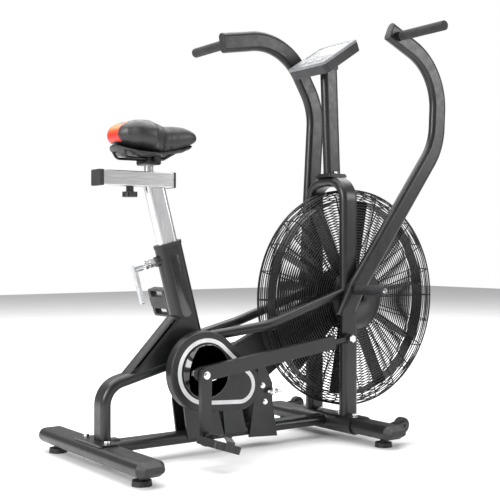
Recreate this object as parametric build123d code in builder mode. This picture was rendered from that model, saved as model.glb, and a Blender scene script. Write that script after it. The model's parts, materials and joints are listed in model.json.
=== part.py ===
from build123d import *
from math import atan2, cos, degrees, hypot, radians, sin
import os

os.makedirs("parts", exist_ok=True)

# Air bike: a fan-loaded exercise bike with swinging arm levers.
# +X points forward (towards the fan), +Y to the rider's left, +Z up.
# The origin is on the floor, under the middle of the bike's overall box.

# ---- driving dimensions (mm, degrees) -------------------------------------
FLOOR_GAP = 25            # floor to the underside of the stabilisers
REAR_X, FRONT_X = -575, 213     # centre lines of the two stabilisers
STAB_LENGTH = 552         # stabiliser tube without its end caps
STAB_WIDTH, STAB_HEIGHT = 80, 40
CAP_DEPTH = 22            # visible depth of a stabiliser end cap
TUBE_WIDE, TUBE_THIN = 60, 30   # flat-oval frame tube
WALL = 2                  # wall of every frame tube
BASE_Z = 50               # height of the base tube's centre line

FOOT_Y = 236
FOOT_R, FOOT_H, STUD_R = 25, 13, 6

RAKE = 15                 # seat tube leans back by this angle
SEAT_TUBE_WIDE, SEAT_TUBE_THIN = 80, 40
SEAT_TUBE_TOP = (-361.5, 573)   # axis of the seat tube at its top end
SEAT_TUBE_LENGTH = 530
COLLAR_HEIGHT = 9
POST_WIDE, POST_THIN = 60, 30   # aluminium seat post
CLAMP_DROP = -32          # clamp bolt below the top of the seat tube
POST_OUT = 155            # post showing above the collar
POST_IN = 190             # post held inside the seat tube
RUN_FIT = 0.05            # radial gap of pivots and bearings
SLIDE_FIT = 0.3           # gap all round a sliding section

RAIL_LENGTH, RAIL_WIDTH, RAIL_HEIGHT, RAIL_WALL = 210, 50, 40, 4
RAIL_X = -462             # middle of the saddle rail
RAIL_CAP = 11
SLOT_WIDTH = 27           # slot along the top of the rail
SLOT_LENGTH = 112
KNOB_SLOT_LENGTH = 92      # slot underneath, for the knob's stud
KNOB_STUD_R = 4
PILLAR_R = 12.5
PILLAR_X = -421
KNOB_X = -478

CRANK_X, CRANK_Z = -297, 237
THROW = 43                # pivot of each push rod from the crank axis
ARM_LENGTH = 172          # push-rod pivot to pedal axle
PIN_R = 8
SPINDLE_R = 10
SHELL_R = 24
SHELL_HALF = 58           # half width of the bottom bracket shell
WEB_T = 12                # thickness of the inner crank webs
ROD_T, ROD_H = 18, 38     # push rod: thickness and height
ARM_T = 14                # outer crank arm thickness
SIDE_GAP = 1.0            # gap between the moving faces of the linkage

COVER_R1, COVER_R2 = 108, 68    # round ends of the drive cover
COVER_IN, COVER_OUT = 62, 92    # drive cover: inner and outer faces
COVER_WALL = 3
JACK_X, JACK_Z = -186, 190
JACK_R = 8
BIG_PULLEY_R, SMALL_PULLEY_R = 84, 24
BELT_T, BELT_WIDE = 4, 14
BELT_GAP = 0.3            # belt clear of its pulleys
STAGE1_Y = 77             # plane of the first belt (rider's right, negative Y)
STAGE2_OUT = 16           # second belt (rider's left): its plane outside the frame's plates
STAGE2_R, FAN_PULLEY_R = 46, 24

FAN_X, FAN_Z = 284, 416
FAN_Y = -4                # middle plane of the fan
FAN_R = 298
CAGE_R, CAGE_HALF = 331, 42
CAGE_WIRE = 3
CAGE_RINGS = 9
CAGE_SPOKES = 12
HUB_PLATE_R = 98
BLADES = 10
BLADE_WIDE = 58
AXLE_R = 7

FORK_X = 217
FORK_TOP = 769            # centre line of the fork's bend
FORK_BEND = 60
SLEEVE_HALF = 138
SLEEVE_T = 5              # wall of the sleeve round the front stabiliser
SLEEVE_TOP = 70

PIVOT_X, PIVOT_Z = 211, 445
LEVER_T = 28
LEVER_SWING = 34          # from the forward stop to the rear stop
LEVER_DROP = (-41, -141)  # push-rod pivot from the lever pivot, lever forward
GRIP_R, GRIP_BAR_R = 14.5, 11
GRIP_END = 312            # grip end from the centre plane
PEG_R, PEG_END = 15, 243

POST_TOP = 1112
CONSOLE_TILT = 33
CONSOLE_AT = (180, 1154)  # middle of the console's face
CONSOLE_WIDE, CONSOLE_DEEP, CONSOLE_T = 176, 160, 36
SCREEN_WIDE, SCREEN_DEEP, SCREEN_AT = 140, 74, 26
BUTTONS, BUTTON_WIDE, BUTTON_DEEP, BUTTON_STEP, BUTTON_AT = 3, 26, 15, 40, -48

PLATE_T = 6               # frame plates either side of the base tube
BELT_ROOM = 12            # second belt's plane to the fork leg
LEVER_GAP, WEB_GAP = 4, 3   # fork leg to lever, crank web to push rod

# planes across the bike, each set out from the last
PLATE_IN, PLATE_OUT = TUBE_WIDE / 2, TUBE_WIDE / 2 + PLATE_T
STAGE2_Y = PLATE_OUT + STAGE2_OUT
FORK_Y = STAGE2_Y + BELT_ROOM + TUBE_THIN / 2
LEVER_Y = FORK_Y + TUBE_THIN / 2 + LEVER_GAP + LEVER_T / 2
ROD_Y = LEVER_Y + LEVER_T / 2 + SIDE_GAP + ROD_T / 2
WEB_Y = ROD_Y - ROD_T / 2 - WEB_GAP - WEB_T


# ---- shared helpers ---------------------------------------------------------
def keep(piece, label):
    """Label a finished piece and write its STEP file."""
    piece.part.label = label
    export_step(piece.part, f"parts/{label}.step")


def side_plane(y):
    """Plane across the bike at y: local x is +X, local y is +Z, normal is -Y."""
    return Plane(origin=(0, y, 0), x_dir=(1, 0, 0), z_dir=(0, -1, 0))


def lean(point, angle):
    """Turn an (x, z) offset forward about the Y axis by angle degrees."""
    a = radians(angle)
    return (point[0] * cos(a) + point[1] * sin(a), point[1] * cos(a) - point[0] * sin(a))


def section_plane(at, heading, wide_dir):
    return Plane(origin=at, x_dir=wide_dir, z_dir=heading)


def raked(along, across=0):
    """Point on the seat tube's axis, measured up from its top end, and across it."""
    dx, dz = lean((across, along), -RAKE)
    return (SEAT_TUBE_TOP[0] + dx, SEAT_TUBE_TOP[1] + dz)


def raked_plane(along):
    """Plane across the seat tube; local x runs forward, the normal runs up the tube."""
    x, z = raked(along)
    fx, fz = lean((1, 0), -RAKE)
    ux, uz = lean((0, 1), -RAKE)
    return Plane(origin=(x, 0, z), x_dir=(fx, 0, fz), z_dir=(ux, 0, uz))


def cylinder_y(x, z, y_from, y_to, radius, mode=Mode.ADD):
    """Round bar along Y."""
    low, high = min(y_from, y_to), max(y_from, y_to)
    with BuildSketch(side_plane(low)) as outline:
        with Locations((x, z)):
            Circle(radius)
    extrude(outline.sketch, amount=-(high - low), mode=mode)


def slab_y(points, y_from, y_to, corner=0, mode=Mode.ADD):
    """Flat plate with an XZ outline, between two Y planes."""
    low, high = min(y_from, y_to), max(y_from, y_to)
    with BuildSketch(side_plane(low)) as outline:
        Polygon(*points, align=None)
        if corner:
            fillet(outline.vertices(), radius=corner)
    extrude(outline.sketch, amount=-(high - low), mode=mode)


def hull_y(circles, y_from, y_to, mode=Mode.ADD):
    """Plate outlined by the hull of circles (x, z, r), between two Y planes."""
    low, high = min(y_from, y_to), max(y_from, y_to)
    with BuildSketch(side_plane(low)) as outline:
        for x, z, r in circles:
            with Locations((x, z)):
                Circle(r)
        make_hull()
    extrude(outline.sketch, amount=-(high - low), mode=mode)


def hex_y(x, z, y_from, y_to, radius, mode=Mode.ADD):
    """Hexagon nut or bolt head along Y."""
    low, high = min(y_from, y_to), max(y_from, y_to)
    with BuildSketch(side_plane(low)) as outline:
        with Locations((x, z)):
            RegularPolygon(radius, 6)
    extrude(outline.sketch, amount=-(high - low), mode=mode)


# ---- main frame ---------------------------------------------------------------
STAB_Z = FLOOR_GAP + STAB_HEIGHT / 2
STRUT_X = REAR_X + 16
STRUT_PATH = [(STRUT_X, 0, SLEEVE_TOP - 2), (STRUT_X, 0, 206), (-331, 0, 263)]
STRUT_BEND = 62
PLATE_BITE = 4            # how far the frame's own plates are let into the base tube
GUSSET_BACK = [(-357, 382), (-503, 232)]
GUSSET_HALF, GUSSET_ROUND = 27, 20
MOUNT_PLATE_LENGTH = 150
BOSS_R, BOSS_DEPTH, CLAMP_R = 14, 14, 6
JACK_HALF, JACK_HOUSING_R, JACK_BEARING_R = 39, 20, 15
BEARING_R = 20            # crank bearings
BACK = lean((-1, 0), -RAKE)
BACK_DIR = (BACK[0], 0, BACK[1])


def clamp_plane(across):
    """Plane square to the clamp bolt, across mm forward of the seat tube's axis."""
    x, z = raked(CLAMP_DROP, across)
    return Plane(origin=(x, 0, z), x_dir=(0, 1, 0), z_dir=BACK_DIR)


with BuildPart() as gusset:
    # folded box between the strut and the seat tube
    slab_y([*GUSSET_BACK, (-331, 262), (-301, 372)], -GUSSET_HALF, GUSSET_HALF)
    slope = gusset.faces().sort_by(Axis((0, 0, 0), (-1, 0, 1)))[-1]
    fillet(slope.edges().sort_by(SortBy.LENGTH)[-2:], radius=GUSSET_ROUND)
    slab_y([(-355, 374), (-490, 236), (-331, 266), (-305, 368)], -GUSSET_HALF + WALL, GUSSET_HALF - WALL,
           mode=Mode.SUBTRACT)

with BuildPart() as main_frame:
    # bent strut from the rear mount up to the seat tube
    with BuildLine():
        strut_line = FilletPolyline(*STRUT_PATH, radius=STRUT_BEND)
    with BuildSketch(section_plane(STRUT_PATH[0], (0, 0, 1), (0, 1, 0))):
        SlotOverall(TUBE_WIDE, TUBE_THIN)
        SlotOverall(TUBE_WIDE - 2 * WALL, TUBE_THIN - 2 * WALL, mode=Mode.SUBTRACT)
    sweep(path=strut_line)
    add(gusset.part)
    # raked seat tube
    with BuildSketch(raked_plane(0)):
        SlotOverall(SEAT_TUBE_WIDE, SEAT_TUBE_THIN)
    extrude(amount=-SEAT_TUBE_LENGTH)
    # base tube, lying flat between the stabilisers
    with BuildSketch(Plane.YZ.offset(REAR_X)):
        with Locations((0, BASE_Z)):
            SlotOverall(TUBE_WIDE, TUBE_THIN)
    extrude(amount=FRONT_X - REAR_X)
    with BuildSketch(Plane.YZ.offset(REAR_X)):
        with Locations((0, BASE_Z)):
            SlotOverall(TUBE_WIDE - 2 * WALL, TUBE_THIN - 2 * WALL)
    extrude(amount=FRONT_X - REAR_X, mode=Mode.SUBTRACT)
    # rear mount plate over the stabiliser, with a tongue onto the base tube
    with BuildSketch(Plane.XY.offset(FLOOR_GAP + STAB_HEIGHT)):
        with Locations((REAR_X, 0)):
            RectangleRounded(STAB_WIDTH - 24, MOUNT_PLATE_LENGTH, 8)
        with Locations((REAR_X + STAB_WIDTH / 2, 0)):
            Rectangle(40, TUBE_WIDE / 2)
    extrude(amount=SLEEVE_TOP - FLOOR_GAP - STAB_HEIGHT)
    # bottom bracket shell and jackshaft housing, carried by plates on the base tube
    cylinder_y(CRANK_X, CRANK_Z, -SHELL_HALF, SHELL_HALF, SHELL_R)
    cylinder_y(JACK_X, JACK_Z, -JACK_HALF, JACK_HALF, JACK_HOUSING_R)
    for side in (-1, 1):
        slab_y([(-331, 150), (-317, 48), (-199, 48), (-241, 205), (-319, 232)],
               side * (PLATE_IN - PLATE_BITE), side * (PLATE_OUT - PLATE_BITE))
        slab_y([(-195, 48), (-121, 48), (-161, 205), (-186, 214), (-211, 190)],
               side * (PLATE_IN - PLATE_BITE), side * (PLATE_OUT - PLATE_BITE))
    # boss for the post clamp, on the back of the seat tube
    with BuildSketch(clamp_plane(-SEAT_TUBE_WIDE / 2 + 6)):
        Circle(BOSS_R)
    extrude(amount=BOSS_DEPTH)
    # room for the seat post, the clamp bolt, the bearings and the two stabilisers
    with BuildSketch(raked_plane(0)):
        SlotOverall(SEAT_TUBE_WIDE - 2 * WALL, SEAT_TUBE_THIN - 2 * WALL)
    extrude(amount=-(POST_IN + 125), mode=Mode.SUBTRACT)
    with BuildSketch(clamp_plane(-SEAT_TUBE_WIDE / 2 + 10)):
        Circle(CLAMP_R + RUN_FIT)
    extrude(amount=BOSS_DEPTH + 10, mode=Mode.SUBTRACT)
    cylinder_y(CRANK_X, CRANK_Z, -SHELL_HALF, SHELL_HALF, BEARING_R, mode=Mode.SUBTRACT)
    cylinder_y(JACK_X, JACK_Z, -JACK_HALF, JACK_HALF, JACK_BEARING_R, mode=Mode.SUBTRACT)
    for x, margin in ((REAR_X, 0), (FRONT_X, 2 * SLEEVE_T)):
        with BuildSketch(Plane.XZ.offset(-STAB_LENGTH / 2)):
            with Locations((x, STAB_Z)):
                SlotOverall(STAB_WIDTH + margin, STAB_HEIGHT + margin)
        extrude(amount=STAB_LENGTH, mode=Mode.SUBTRACT)
keep(main_frame, "main_frame")

# ---- fork, side tubes, stabilisers ---------------------------------------------
BRACKET_T = 6
PIVOT_BORE_R = 8
POST_FOOT_T = 5
POST_FOOT_WIDE = 72

with BuildPart() as front_fork:
    # bent hoop of flat-oval tube over the fan
    with BuildLine():
        hoop = FilletPolyline(
            (FORK_X, -FORK_Y, STAB_Z), (FORK_X, -FORK_Y, FORK_TOP),
            (FORK_X, FORK_Y, FORK_TOP), (FORK_X, FORK_Y, STAB_Z), radius=FORK_BEND)
    with BuildSketch(section_plane((FORK_X, -FORK_Y, STAB_Z), (0, 0, 1), (1, 0, 0))):
        SlotOverall(TUBE_WIDE, TUBE_THIN)
        SlotOverall(TUBE_WIDE - 2 * WALL, TUBE_THIN - 2 * WALL, mode=Mode.SUBTRACT)
    sweep(path=hoop)
    # sleeve round the front stabiliser
    with BuildSketch(Plane.XZ.offset(-SLEEVE_HALF)):
        with Locations((FRONT_X, STAB_Z)):
            SlotOverall(STAB_WIDTH + 2 * SLEEVE_T, STAB_HEIGHT + 2 * SLEEVE_T)
    extrude(amount=2 * SLEEVE_HALF)
    # plates that carry the fan axle ahead of the legs
    for side in (-1, 1):
        inner = side * (FORK_Y - TUBE_THIN / 2)
        hull_y([(FORK_X, PIVOT_Z - 6, 24), (FAN_X, FAN_Z, 22)], inner, inner + side * BRACKET_T)
        # boss through the leg for the lever's pivot bolt
        cylinder_y(PIVOT_X, PIVOT_Z, inner, side * (FORK_Y + TUBE_THIN / 2), PIVOT_BORE_R + 5)
    # pad that the console post stands on
    with BuildSketch(Plane.XY.offset(FORK_TOP + TUBE_THIN / 2 - WALL)):
        with Locations((FORK_X, 0)):
            RectangleRounded(TUBE_WIDE + 10, POST_FOOT_WIDE, 6)
    extrude(amount=POST_FOOT_T + WALL)
    # bores for the fan axle, the pivot bolts and the stabiliser
    cylinder_y(FAN_X, FAN_Z, -FORK_Y, FORK_Y, AXLE_R + RUN_FIT, mode=Mode.SUBTRACT)
    leg_out = FORK_Y + TUBE_THIN / 2
    cylinder_y(PIVOT_X, PIVOT_Z, -leg_out, leg_out, PIVOT_BORE_R, mode=Mode.SUBTRACT)
    with BuildSketch(Plane.XZ.offset(-SLEEVE_HALF)):
        with Locations((FRONT_X, STAB_Z)):
            SlotOverall(STAB_WIDTH, STAB_HEIGHT)
    extrude(amount=2 * SLEEVE_HALF, mode=Mode.SUBTRACT)
keep(front_fork, "front_fork")

SIDE_TUBE_R = 14
SIDE_TUBE_BEND = 120
with BuildPart() as side_tubes:
    for side in (-1, 1):
        with BuildPart(mode=Mode.PRIVATE) as side_tube:
            with BuildLine() as run_line:
                FilletPolyline((-276, side * 17, 320), (-83, side * FORK_Y, 350),
                               (FORK_X - 24, side * FORK_Y, 436), radius=SIDE_TUBE_BEND)
            with BuildSketch(Plane(origin=run_line.line @ 0, z_dir=run_line.line % 0)):
                Circle(SIDE_TUBE_R)
            sweep(path=run_line.line)
            add(main_frame.part, mode=Mode.SUBTRACT)
            add(front_fork.part, mode=Mode.SUBTRACT)
        add(side_tube.part.solids().sort_by(SortBy.VOLUME)[-1])
keep(side_tubes, "side_tubes")

WHEEL_X, WHEEL_Z, WHEEL_Y, WHEEL_R, WHEEL_T = 277, 56, 243, 23, 22
WHEEL_AXLE_R = 4
WHEEL_EAR = 5


def stabiliser_tube(x):
    """Flat-oval tube across the bike, with threaded holes for its two feet."""
    with BuildSketch(Plane.XZ.offset(-STAB_LENGTH / 2)) as outer:
        with Locations((x, STAB_Z)):
            SlotOverall(STAB_WIDTH, STAB_HEIGHT)
    extrude(outer.sketch, amount=STAB_LENGTH)
    with BuildSketch(Plane.XZ.offset(-STAB_LENGTH / 2)) as inner:
        with Locations((x, STAB_Z)):
            SlotOverall(STAB_WIDTH - 2 * WALL, STAB_HEIGHT - 2 * WALL)
    extrude(inner.sketch, amount=STAB_LENGTH, mode=Mode.SUBTRACT)
    with BuildSketch(Plane.XY.offset(FLOOR_GAP)) as holes:
        with Locations((x, FOOT_Y), (x, -FOOT_Y)):
            Circle(STUD_R + RUN_FIT)
    extrude(holes.sketch, amount=2 * WALL, mode=Mode.SUBTRACT)


with BuildPart() as rear_stabiliser:
    stabiliser_tube(REAR_X)
keep(rear_stabiliser, "rear_stabiliser")

with BuildPart() as front_stabiliser:
    # ears and axles of the two transport wheels, then the tube
    for side in (-1, 1):
        for ear in (-1, 1):
            inner = side * WHEEL_Y + ear * (WHEEL_T / 2 + SIDE_GAP)
            hull_y([(WHEEL_X, WHEEL_Z, 11), (FRONT_X + 34, STAB_Z + 4, 13)],
                   inner, inner + ear * WHEEL_EAR)
        cylinder_y(WHEEL_X, WHEEL_Z, side * (WHEEL_Y - WHEEL_T / 2 - 9),
                   side * (WHEEL_Y + WHEEL_T / 2 + 9), WHEEL_AXLE_R)
    stabiliser_tube(FRONT_X)
keep(front_stabiliser, "front_stabiliser")

CAP_PLUG = 14             # part of a cap that fits inside the tube
with BuildPart() as stabiliser_caps:
    for x in (REAR_X, FRONT_X):
        for side in (-1, 1):
            face = side * STAB_LENGTH / 2
            with BuildSketch(Plane.XZ.offset(-face)) as rim:
                with Locations((x, STAB_Z)):
                    SlotOverall(STAB_WIDTH, STAB_HEIGHT)
            extrude(rim.sketch, amount=-side * CAP_DEPTH, taper=28)
            with BuildSketch(Plane.XZ.offset(-face)) as plug:
                with Locations((x, STAB_Z)):
                    SlotOverall(STAB_WIDTH - 2 * WALL - SLIDE_FIT, STAB_HEIGHT - 2 * WALL - SLIDE_FIT)
            extrude(plug.sketch, amount=side * CAP_PLUG)
keep(stabiliser_caps, "stabiliser_caps")

with BuildPart() as levelling_feet:
    foot_places = [(x, side * FOOT_Y) for x in (REAR_X, FRONT_X) for side in (-1, 1)]
    with BuildSketch(Plane.XY):
        with Locations(*foot_places):
            Circle(FOOT_R)
    extrude(amount=FOOT_H, taper=6)
    with BuildSketch(Plane.XY.offset(FOOT_H)):
        with Locations(*foot_places):
            RegularPolygon(STUD_R + 4, 6)
    extrude(amount=6)
    with BuildSketch(Plane.XY.offset(FOOT_H)):
        with Locations(*foot_places):
            Circle(STUD_R)
    extrude(amount=FLOOR_GAP + 5 - FOOT_H)
keep(levelling_feet, "levelling_feet")

for side, hand in ((-1, "right"), (1, "left")):
    low, high = side * WHEEL_Y - WHEEL_T / 2, side * WHEEL_Y + WHEEL_T / 2
    with BuildPart() as transport_wheel:
        cylinder_y(WHEEL_X, WHEEL_Z, low, high, WHEEL_R)
        fillet(transport_wheel.edges(), radius=4)
        cylinder_y(WHEEL_X, WHEEL_Z, low, high, WHEEL_AXLE_R + RUN_FIT, mode=Mode.SUBTRACT)
    keep(transport_wheel, f"transport_wheel_{hand}")

# ---- seat post, rail and saddle ---------------------------------------------------
COLLAR_LINER = 60         # depth of the collar's liner inside the tube
POST_WALL = 3
with BuildPart() as post_collar:
    # lip on the tube's top and a liner down inside it
    with BuildSketch(raked_plane(0)):
        SlotOverall(SEAT_TUBE_WIDE + 3, SEAT_TUBE_THIN + 3)
    extrude(amount=COLLAR_HEIGHT)
    with BuildSketch(raked_plane(0)):
        SlotOverall(SEAT_TUBE_WIDE - 2 * WALL, SEAT_TUBE_THIN - 2 * WALL)
    extrude(amount=-COLLAR_LINER)
    with BuildSketch(raked_plane(COLLAR_HEIGHT)):
        SlotOverall(POST_WIDE + 2 * SLIDE_FIT, POST_THIN + 2 * SLIDE_FIT)
    extrude(amount=-COLLAR_LINER - COLLAR_HEIGHT, mode=Mode.SUBTRACT)
    with BuildSketch(clamp_plane(0)):
        Circle(CLAMP_R + RUN_FIT)
    extrude(amount=SEAT_TUBE_WIDE, mode=Mode.SUBTRACT)
keep(post_collar, "post_collar")

RAIL_Z = raked(COLLAR_HEIGHT + POST_OUT)[1] + RAIL_HEIGHT / 2 - 1
RAIL_LOW, RAIL_TOP = RAIL_Z - RAIL_HEIGHT / 2, RAIL_Z + RAIL_HEIGHT / 2
with BuildPart() as seat_post:
    with BuildSketch(raked_plane(COLLAR_HEIGHT + POST_OUT + 20)):
        SlotOverall(POST_WIDE, POST_THIN)
        SlotOverall(POST_WIDE - 2 * POST_WALL, POST_THIN - 2 * POST_WALL, mode=Mode.SUBTRACT)
    extrude(amount=-POST_OUT - POST_IN - 20)
    # cut level under the saddle rail
    with BuildSketch(Plane.XY.offset(RAIL_LOW)):
        with Locations((RAIL_X, 0)):
            Rectangle(2 * RAIL_LENGTH, 2 * RAIL_WIDTH)
    extrude(amount=2 * RAIL_HEIGHT, mode=Mode.SUBTRACT)
keep(seat_post, "seat_post")

with BuildPart() as saddle_rail:
    with BuildSketch(Plane.YZ.offset(RAIL_X - RAIL_LENGTH / 2)):
        with Locations((0, RAIL_Z)):
            RectangleRounded(RAIL_WIDTH, RAIL_HEIGHT, 3)
            Rectangle(RAIL_WIDTH - 2 * RAIL_WALL, RAIL_HEIGHT - 2 * RAIL_WALL, mode=Mode.SUBTRACT)
    extrude(amount=RAIL_LENGTH)
    # groove along each side
    with BuildSketch(Plane.YZ.offset(RAIL_X - RAIL_LENGTH / 2)):
        with Locations((-RAIL_WIDTH / 2, RAIL_Z), (RAIL_WIDTH / 2, RAIL_Z)):
            Rectangle(2.4, 2.4)
    extrude(amount=RAIL_LENGTH, mode=Mode.SUBTRACT)
    # slots for the saddle pillar above and the knob's stud below
    with BuildSketch(Plane.XY.offset(RAIL_Z)):
        with Locations((PILLAR_X, 0)):
            SlotOverall(SLOT_LENGTH, SLOT_WIDTH)
    extrude(amount=RAIL_HEIGHT, mode=Mode.SUBTRACT)
    with BuildSketch(Plane.XY.offset(RAIL_Z)):
        with Locations((KNOB_X, 0)):
            SlotOverall(KNOB_SLOT_LENGTH, 2 * KNOB_STUD_R + 1)
    extrude(amount=-RAIL_HEIGHT, mode=Mode.SUBTRACT)
keep(saddle_rail, "saddle_rail")

with BuildPart() as rail_caps:
    for end in (-1, 1):
        face = RAIL_X + end * RAIL_LENGTH / 2
        depth = RAIL_CAP if end < 0 else RAIL_CAP / 2
        with BuildSketch(Plane.YZ.offset(face)) as outer:
            with Locations((0, RAIL_Z)):
                RectangleRounded(RAIL_WIDTH + 2, RAIL_HEIGHT + 2, 4)
        with BuildSketch(Plane.YZ.offset(face)) as plug:
            with Locations((0, RAIL_Z)):
                Rectangle(RAIL_WIDTH - 2 * RAIL_WALL - 1, RAIL_HEIGHT - 2 * RAIL_WALL - 1)
        with BuildPart(mode=Mode.PRIVATE) as rail_cap:
            extrude(outer.sketch, amount=end * depth)
            extrude(plug.sketch, amount=-end * 5)
        add(rail_cap.part)
keep(rail_caps, "rail_caps")

SLIDER_SPARE = 15         # slider block beyond the knob's stud and the pillar
SLIDER_HEIGHT = RAIL_HEIGHT - 2 * RAIL_WALL - 2 * SLIDE_FIT
CLAMP_Z = RAIL_TOP + 30
with BuildPart() as saddle_slider:
    # block inside the rail, reaching back over the knob, with the chrome pillar on it
    with BuildSketch(Plane.XY.offset(RAIL_Z - SLIDER_HEIGHT / 2)):
        with Locations(((PILLAR_X + KNOB_X) / 2, 0)):
            Rectangle(PILLAR_X - KNOB_X + 2 * SLIDER_SPARE, RAIL_WIDTH - 2 * RAIL_WALL - 2 * SLIDE_FIT)
    extrude(amount=SLIDER_HEIGHT)
    with BuildSketch(Plane.XY.offset(RAIL_Z)):
        with Locations((PILLAR_X, 0)):
            Circle(PILLAR_R)
    extrude(amount=CLAMP_Z + 12 - RAIL_Z)
    with BuildSketch(Plane.XY.offset(RAIL_Z - SLIDER_HEIGHT / 2)):
        with Locations((KNOB_X, 0)):
            Circle(KNOB_STUD_R + RUN_FIT)
    extrude(amount=14, mode=Mode.SUBTRACT)
keep(saddle_slider, "saddle_slider")

KNOB_HANDLE_R, KNOB_LOBES = 20, 6
KNOB_DROP, KNOB_HEAD, KNOB_NECK_R = 28, 14, 10
with BuildPart() as slider_knob:
    with BuildSketch(Plane.XY.offset(RAIL_LOW - KNOB_DROP)):
        with Locations((KNOB_X, 0)):
            Circle(KNOB_HANDLE_R)
            with PolarLocations(KNOB_HANDLE_R + 1, KNOB_LOBES):
                Circle(5, mode=Mode.SUBTRACT)
    extrude(amount=KNOB_HEAD)
    with BuildSketch(Plane.XY.offset(RAIL_LOW - KNOB_DROP + KNOB_HEAD)):
        with Locations((KNOB_X, 0)):
            Circle(KNOB_NECK_R)
    extrude(amount=KNOB_DROP - KNOB_HEAD - 0.5)
    with BuildSketch(Plane.XY.offset(RAIL_LOW - 4)):
        with Locations((KNOB_X, 0)):
            Circle(KNOB_STUD_R)
    extrude(amount=RAIL_WALL + SLIDE_FIT + 14)
keep(slider_knob, "slider_knob")

# ratchet handle of the seat post clamp, on a stud through the boss
STUD_LENGTH, NUT_RADIUS = 60, 12
NUTS = [(16, 14), (34, 10)]   # distance out from the seat tube and depth of each nut
HANDLE_OUT, HANDLE_HUB, HANDLE_REACH, HANDLE_T = 52, 26, 92, 9
with BuildPart() as clamp_stud:
    with BuildSketch(clamp_plane(-POST_WIDE / 2 - SLIDE_FIT)):
        Circle(CLAMP_R)
    extrude(amount=STUD_LENGTH)
    for out, deep in NUTS:
        with BuildSketch(clamp_plane(-SEAT_TUBE_WIDE / 2 - out)) as nut:
            RegularPolygon(NUT_RADIUS, 6)
        extrude(nut.sketch, amount=deep)
keep(clamp_stud, "clamp_stud")

with BuildPart() as clamp_handle:
    with BuildSketch(clamp_plane(-SEAT_TUBE_WIDE / 2 - HANDLE_OUT)):
        Circle(11)
    extrude(amount=HANDLE_HUB)
    with BuildSketch(clamp_plane(-SEAT_TUBE_WIDE / 2 - HANDLE_OUT - HANDLE_HUB + 7)) as arm:
        Circle(9)
        with Locations((0, HANDLE_REACH)):
            Circle(6)
        make_hull()
    extrude(amount=HANDLE_T)
keep(clamp_handle, "clamp_handle")

# ---- saddle ------------------------------------------------------------------------
SADDLE_REAR, SADDLE_NOSE = -538, -266
SADDLE_HALF = 92
SADDLE_BEND_X = -400      # the underside rises from here to the nose
SADDLE_RISE = 26
SHELL_T, SHELL_INSET = 10, 8
SHELL_Z = CLAMP_Z + 22
CUSHION_TOP = 914
CUSHION_WRAP = 6          # the cushion hangs this far below the shell's underside
SADDLE_GAP = 0.3


def saddle_sheet(inset):
    """Closed saddle outline on a level plane under the shell."""
    half = [
        (SADDLE_REAR + inset, 0), (SADDLE_REAR + 7 + inset, 48 - inset / 2),
        (SADDLE_REAR + 54, SADDLE_HALF - inset), (SADDLE_REAR + 104, 76 - inset),
        (SADDLE_REAR + 146, 46 - inset), (SADDLE_REAR + 186, 32 - inset),
        (SADDLE_NOSE - 36, 27 - inset), (SADDLE_NOSE - inset, 0)]
    with BuildSketch(Plane.XY.offset(SHELL_Z - CUSHION_WRAP - 1)) as outline:
        with BuildLine():
            Spline(*half, tangents=[(0, 1), (0, -1)])
            Spline(*[(x, -y) for x, y in half], tangents=[(0, -1), (0, 1)])
        make_face()
    return outline.sketch


def underside(lift):
    """Saddle underside as an XZ line from the rear to the nose, raised by lift."""
    return [(SADDLE_REAR - 10, SHELL_Z + lift), (SADDLE_BEND_X, SHELL_Z + lift),
            (SADDLE_NOSE + 10, SHELL_Z + lift + SADDLE_RISE)]


with BuildPart() as saddle_shell:
    extrude(saddle_sheet(SHELL_INSET), amount=60)
    slab_y([*underside(0), *reversed(underside(SHELL_T))], -SADDLE_HALF, SADDLE_HALF, mode=Mode.INTERSECT)
keep(saddle_shell, "saddle_shell")

with BuildPart() as saddle_cushion:
    extrude(saddle_sheet(0), amount=CUSHION_TOP - SHELL_Z + 20)
    top_line = [(SADDLE_NOSE + 10, 876), (SADDLE_NOSE - 12, 895), (SADDLE_NOSE - 45, 902),
                (SADDLE_REAR + 150, 894), (SADDLE_REAR + 95, CUSHION_TOP - 4),
                (SADDLE_REAR + 60, CUSHION_TOP), (SADDLE_REAR + 22, CUSHION_TOP - 6), (SADDLE_REAR - 10, 884)]
    slab_y([*underside(-CUSHION_WRAP), *top_line], -SADDLE_HALF - 5, SADDLE_HALF + 5, mode=Mode.INTERSECT)
    # pocket that the shell fits in, open underneath
    with BuildPart(mode=Mode.PRIVATE) as pocket:
        extrude(saddle_sheet(SHELL_INSET - SADDLE_GAP), amount=60)
        slab_y([*underside(-20), *reversed(underside(SHELL_T + SADDLE_GAP))], -SADDLE_HALF, SADDLE_HALF,
               mode=Mode.INTERSECT)
    add(pocket.part, mode=Mode.SUBTRACT)
keep(saddle_cushion, "saddle_cushion")

RAIL_WIRE_R = 3.5
CLAMP_HALF = 31
with BuildPart() as saddle_rails:
    for side in (-1, 1):
        with BuildLine() as wire_line:
            FilletPolyline(
                (SADDLE_REAR + 26, side * 34, SHELL_Z + 4), (SADDLE_REAR + 34, side * 26, CLAMP_Z + 4),
                (PILLAR_X + 34, side * 18, CLAMP_Z + 4),
                (SADDLE_NOSE - 34, side * 4, SHELL_Z + SADDLE_RISE), radius=14)
        with BuildSketch(Plane(origin=wire_line.line @ 0, z_dir=wire_line.line % 0)) as wire:
            Circle(RAIL_WIRE_R)
        sweep(wire.sketch, path=wire_line.line)
    # the ends stop at the shell
    above = [(x, z + 60) for x, z in reversed(underside(0))]
    slab_y([*underside(0), *above], -SADDLE_HALF, SADDLE_HALF, mode=Mode.SUBTRACT)
keep(saddle_rails, "saddle_rails")

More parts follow.
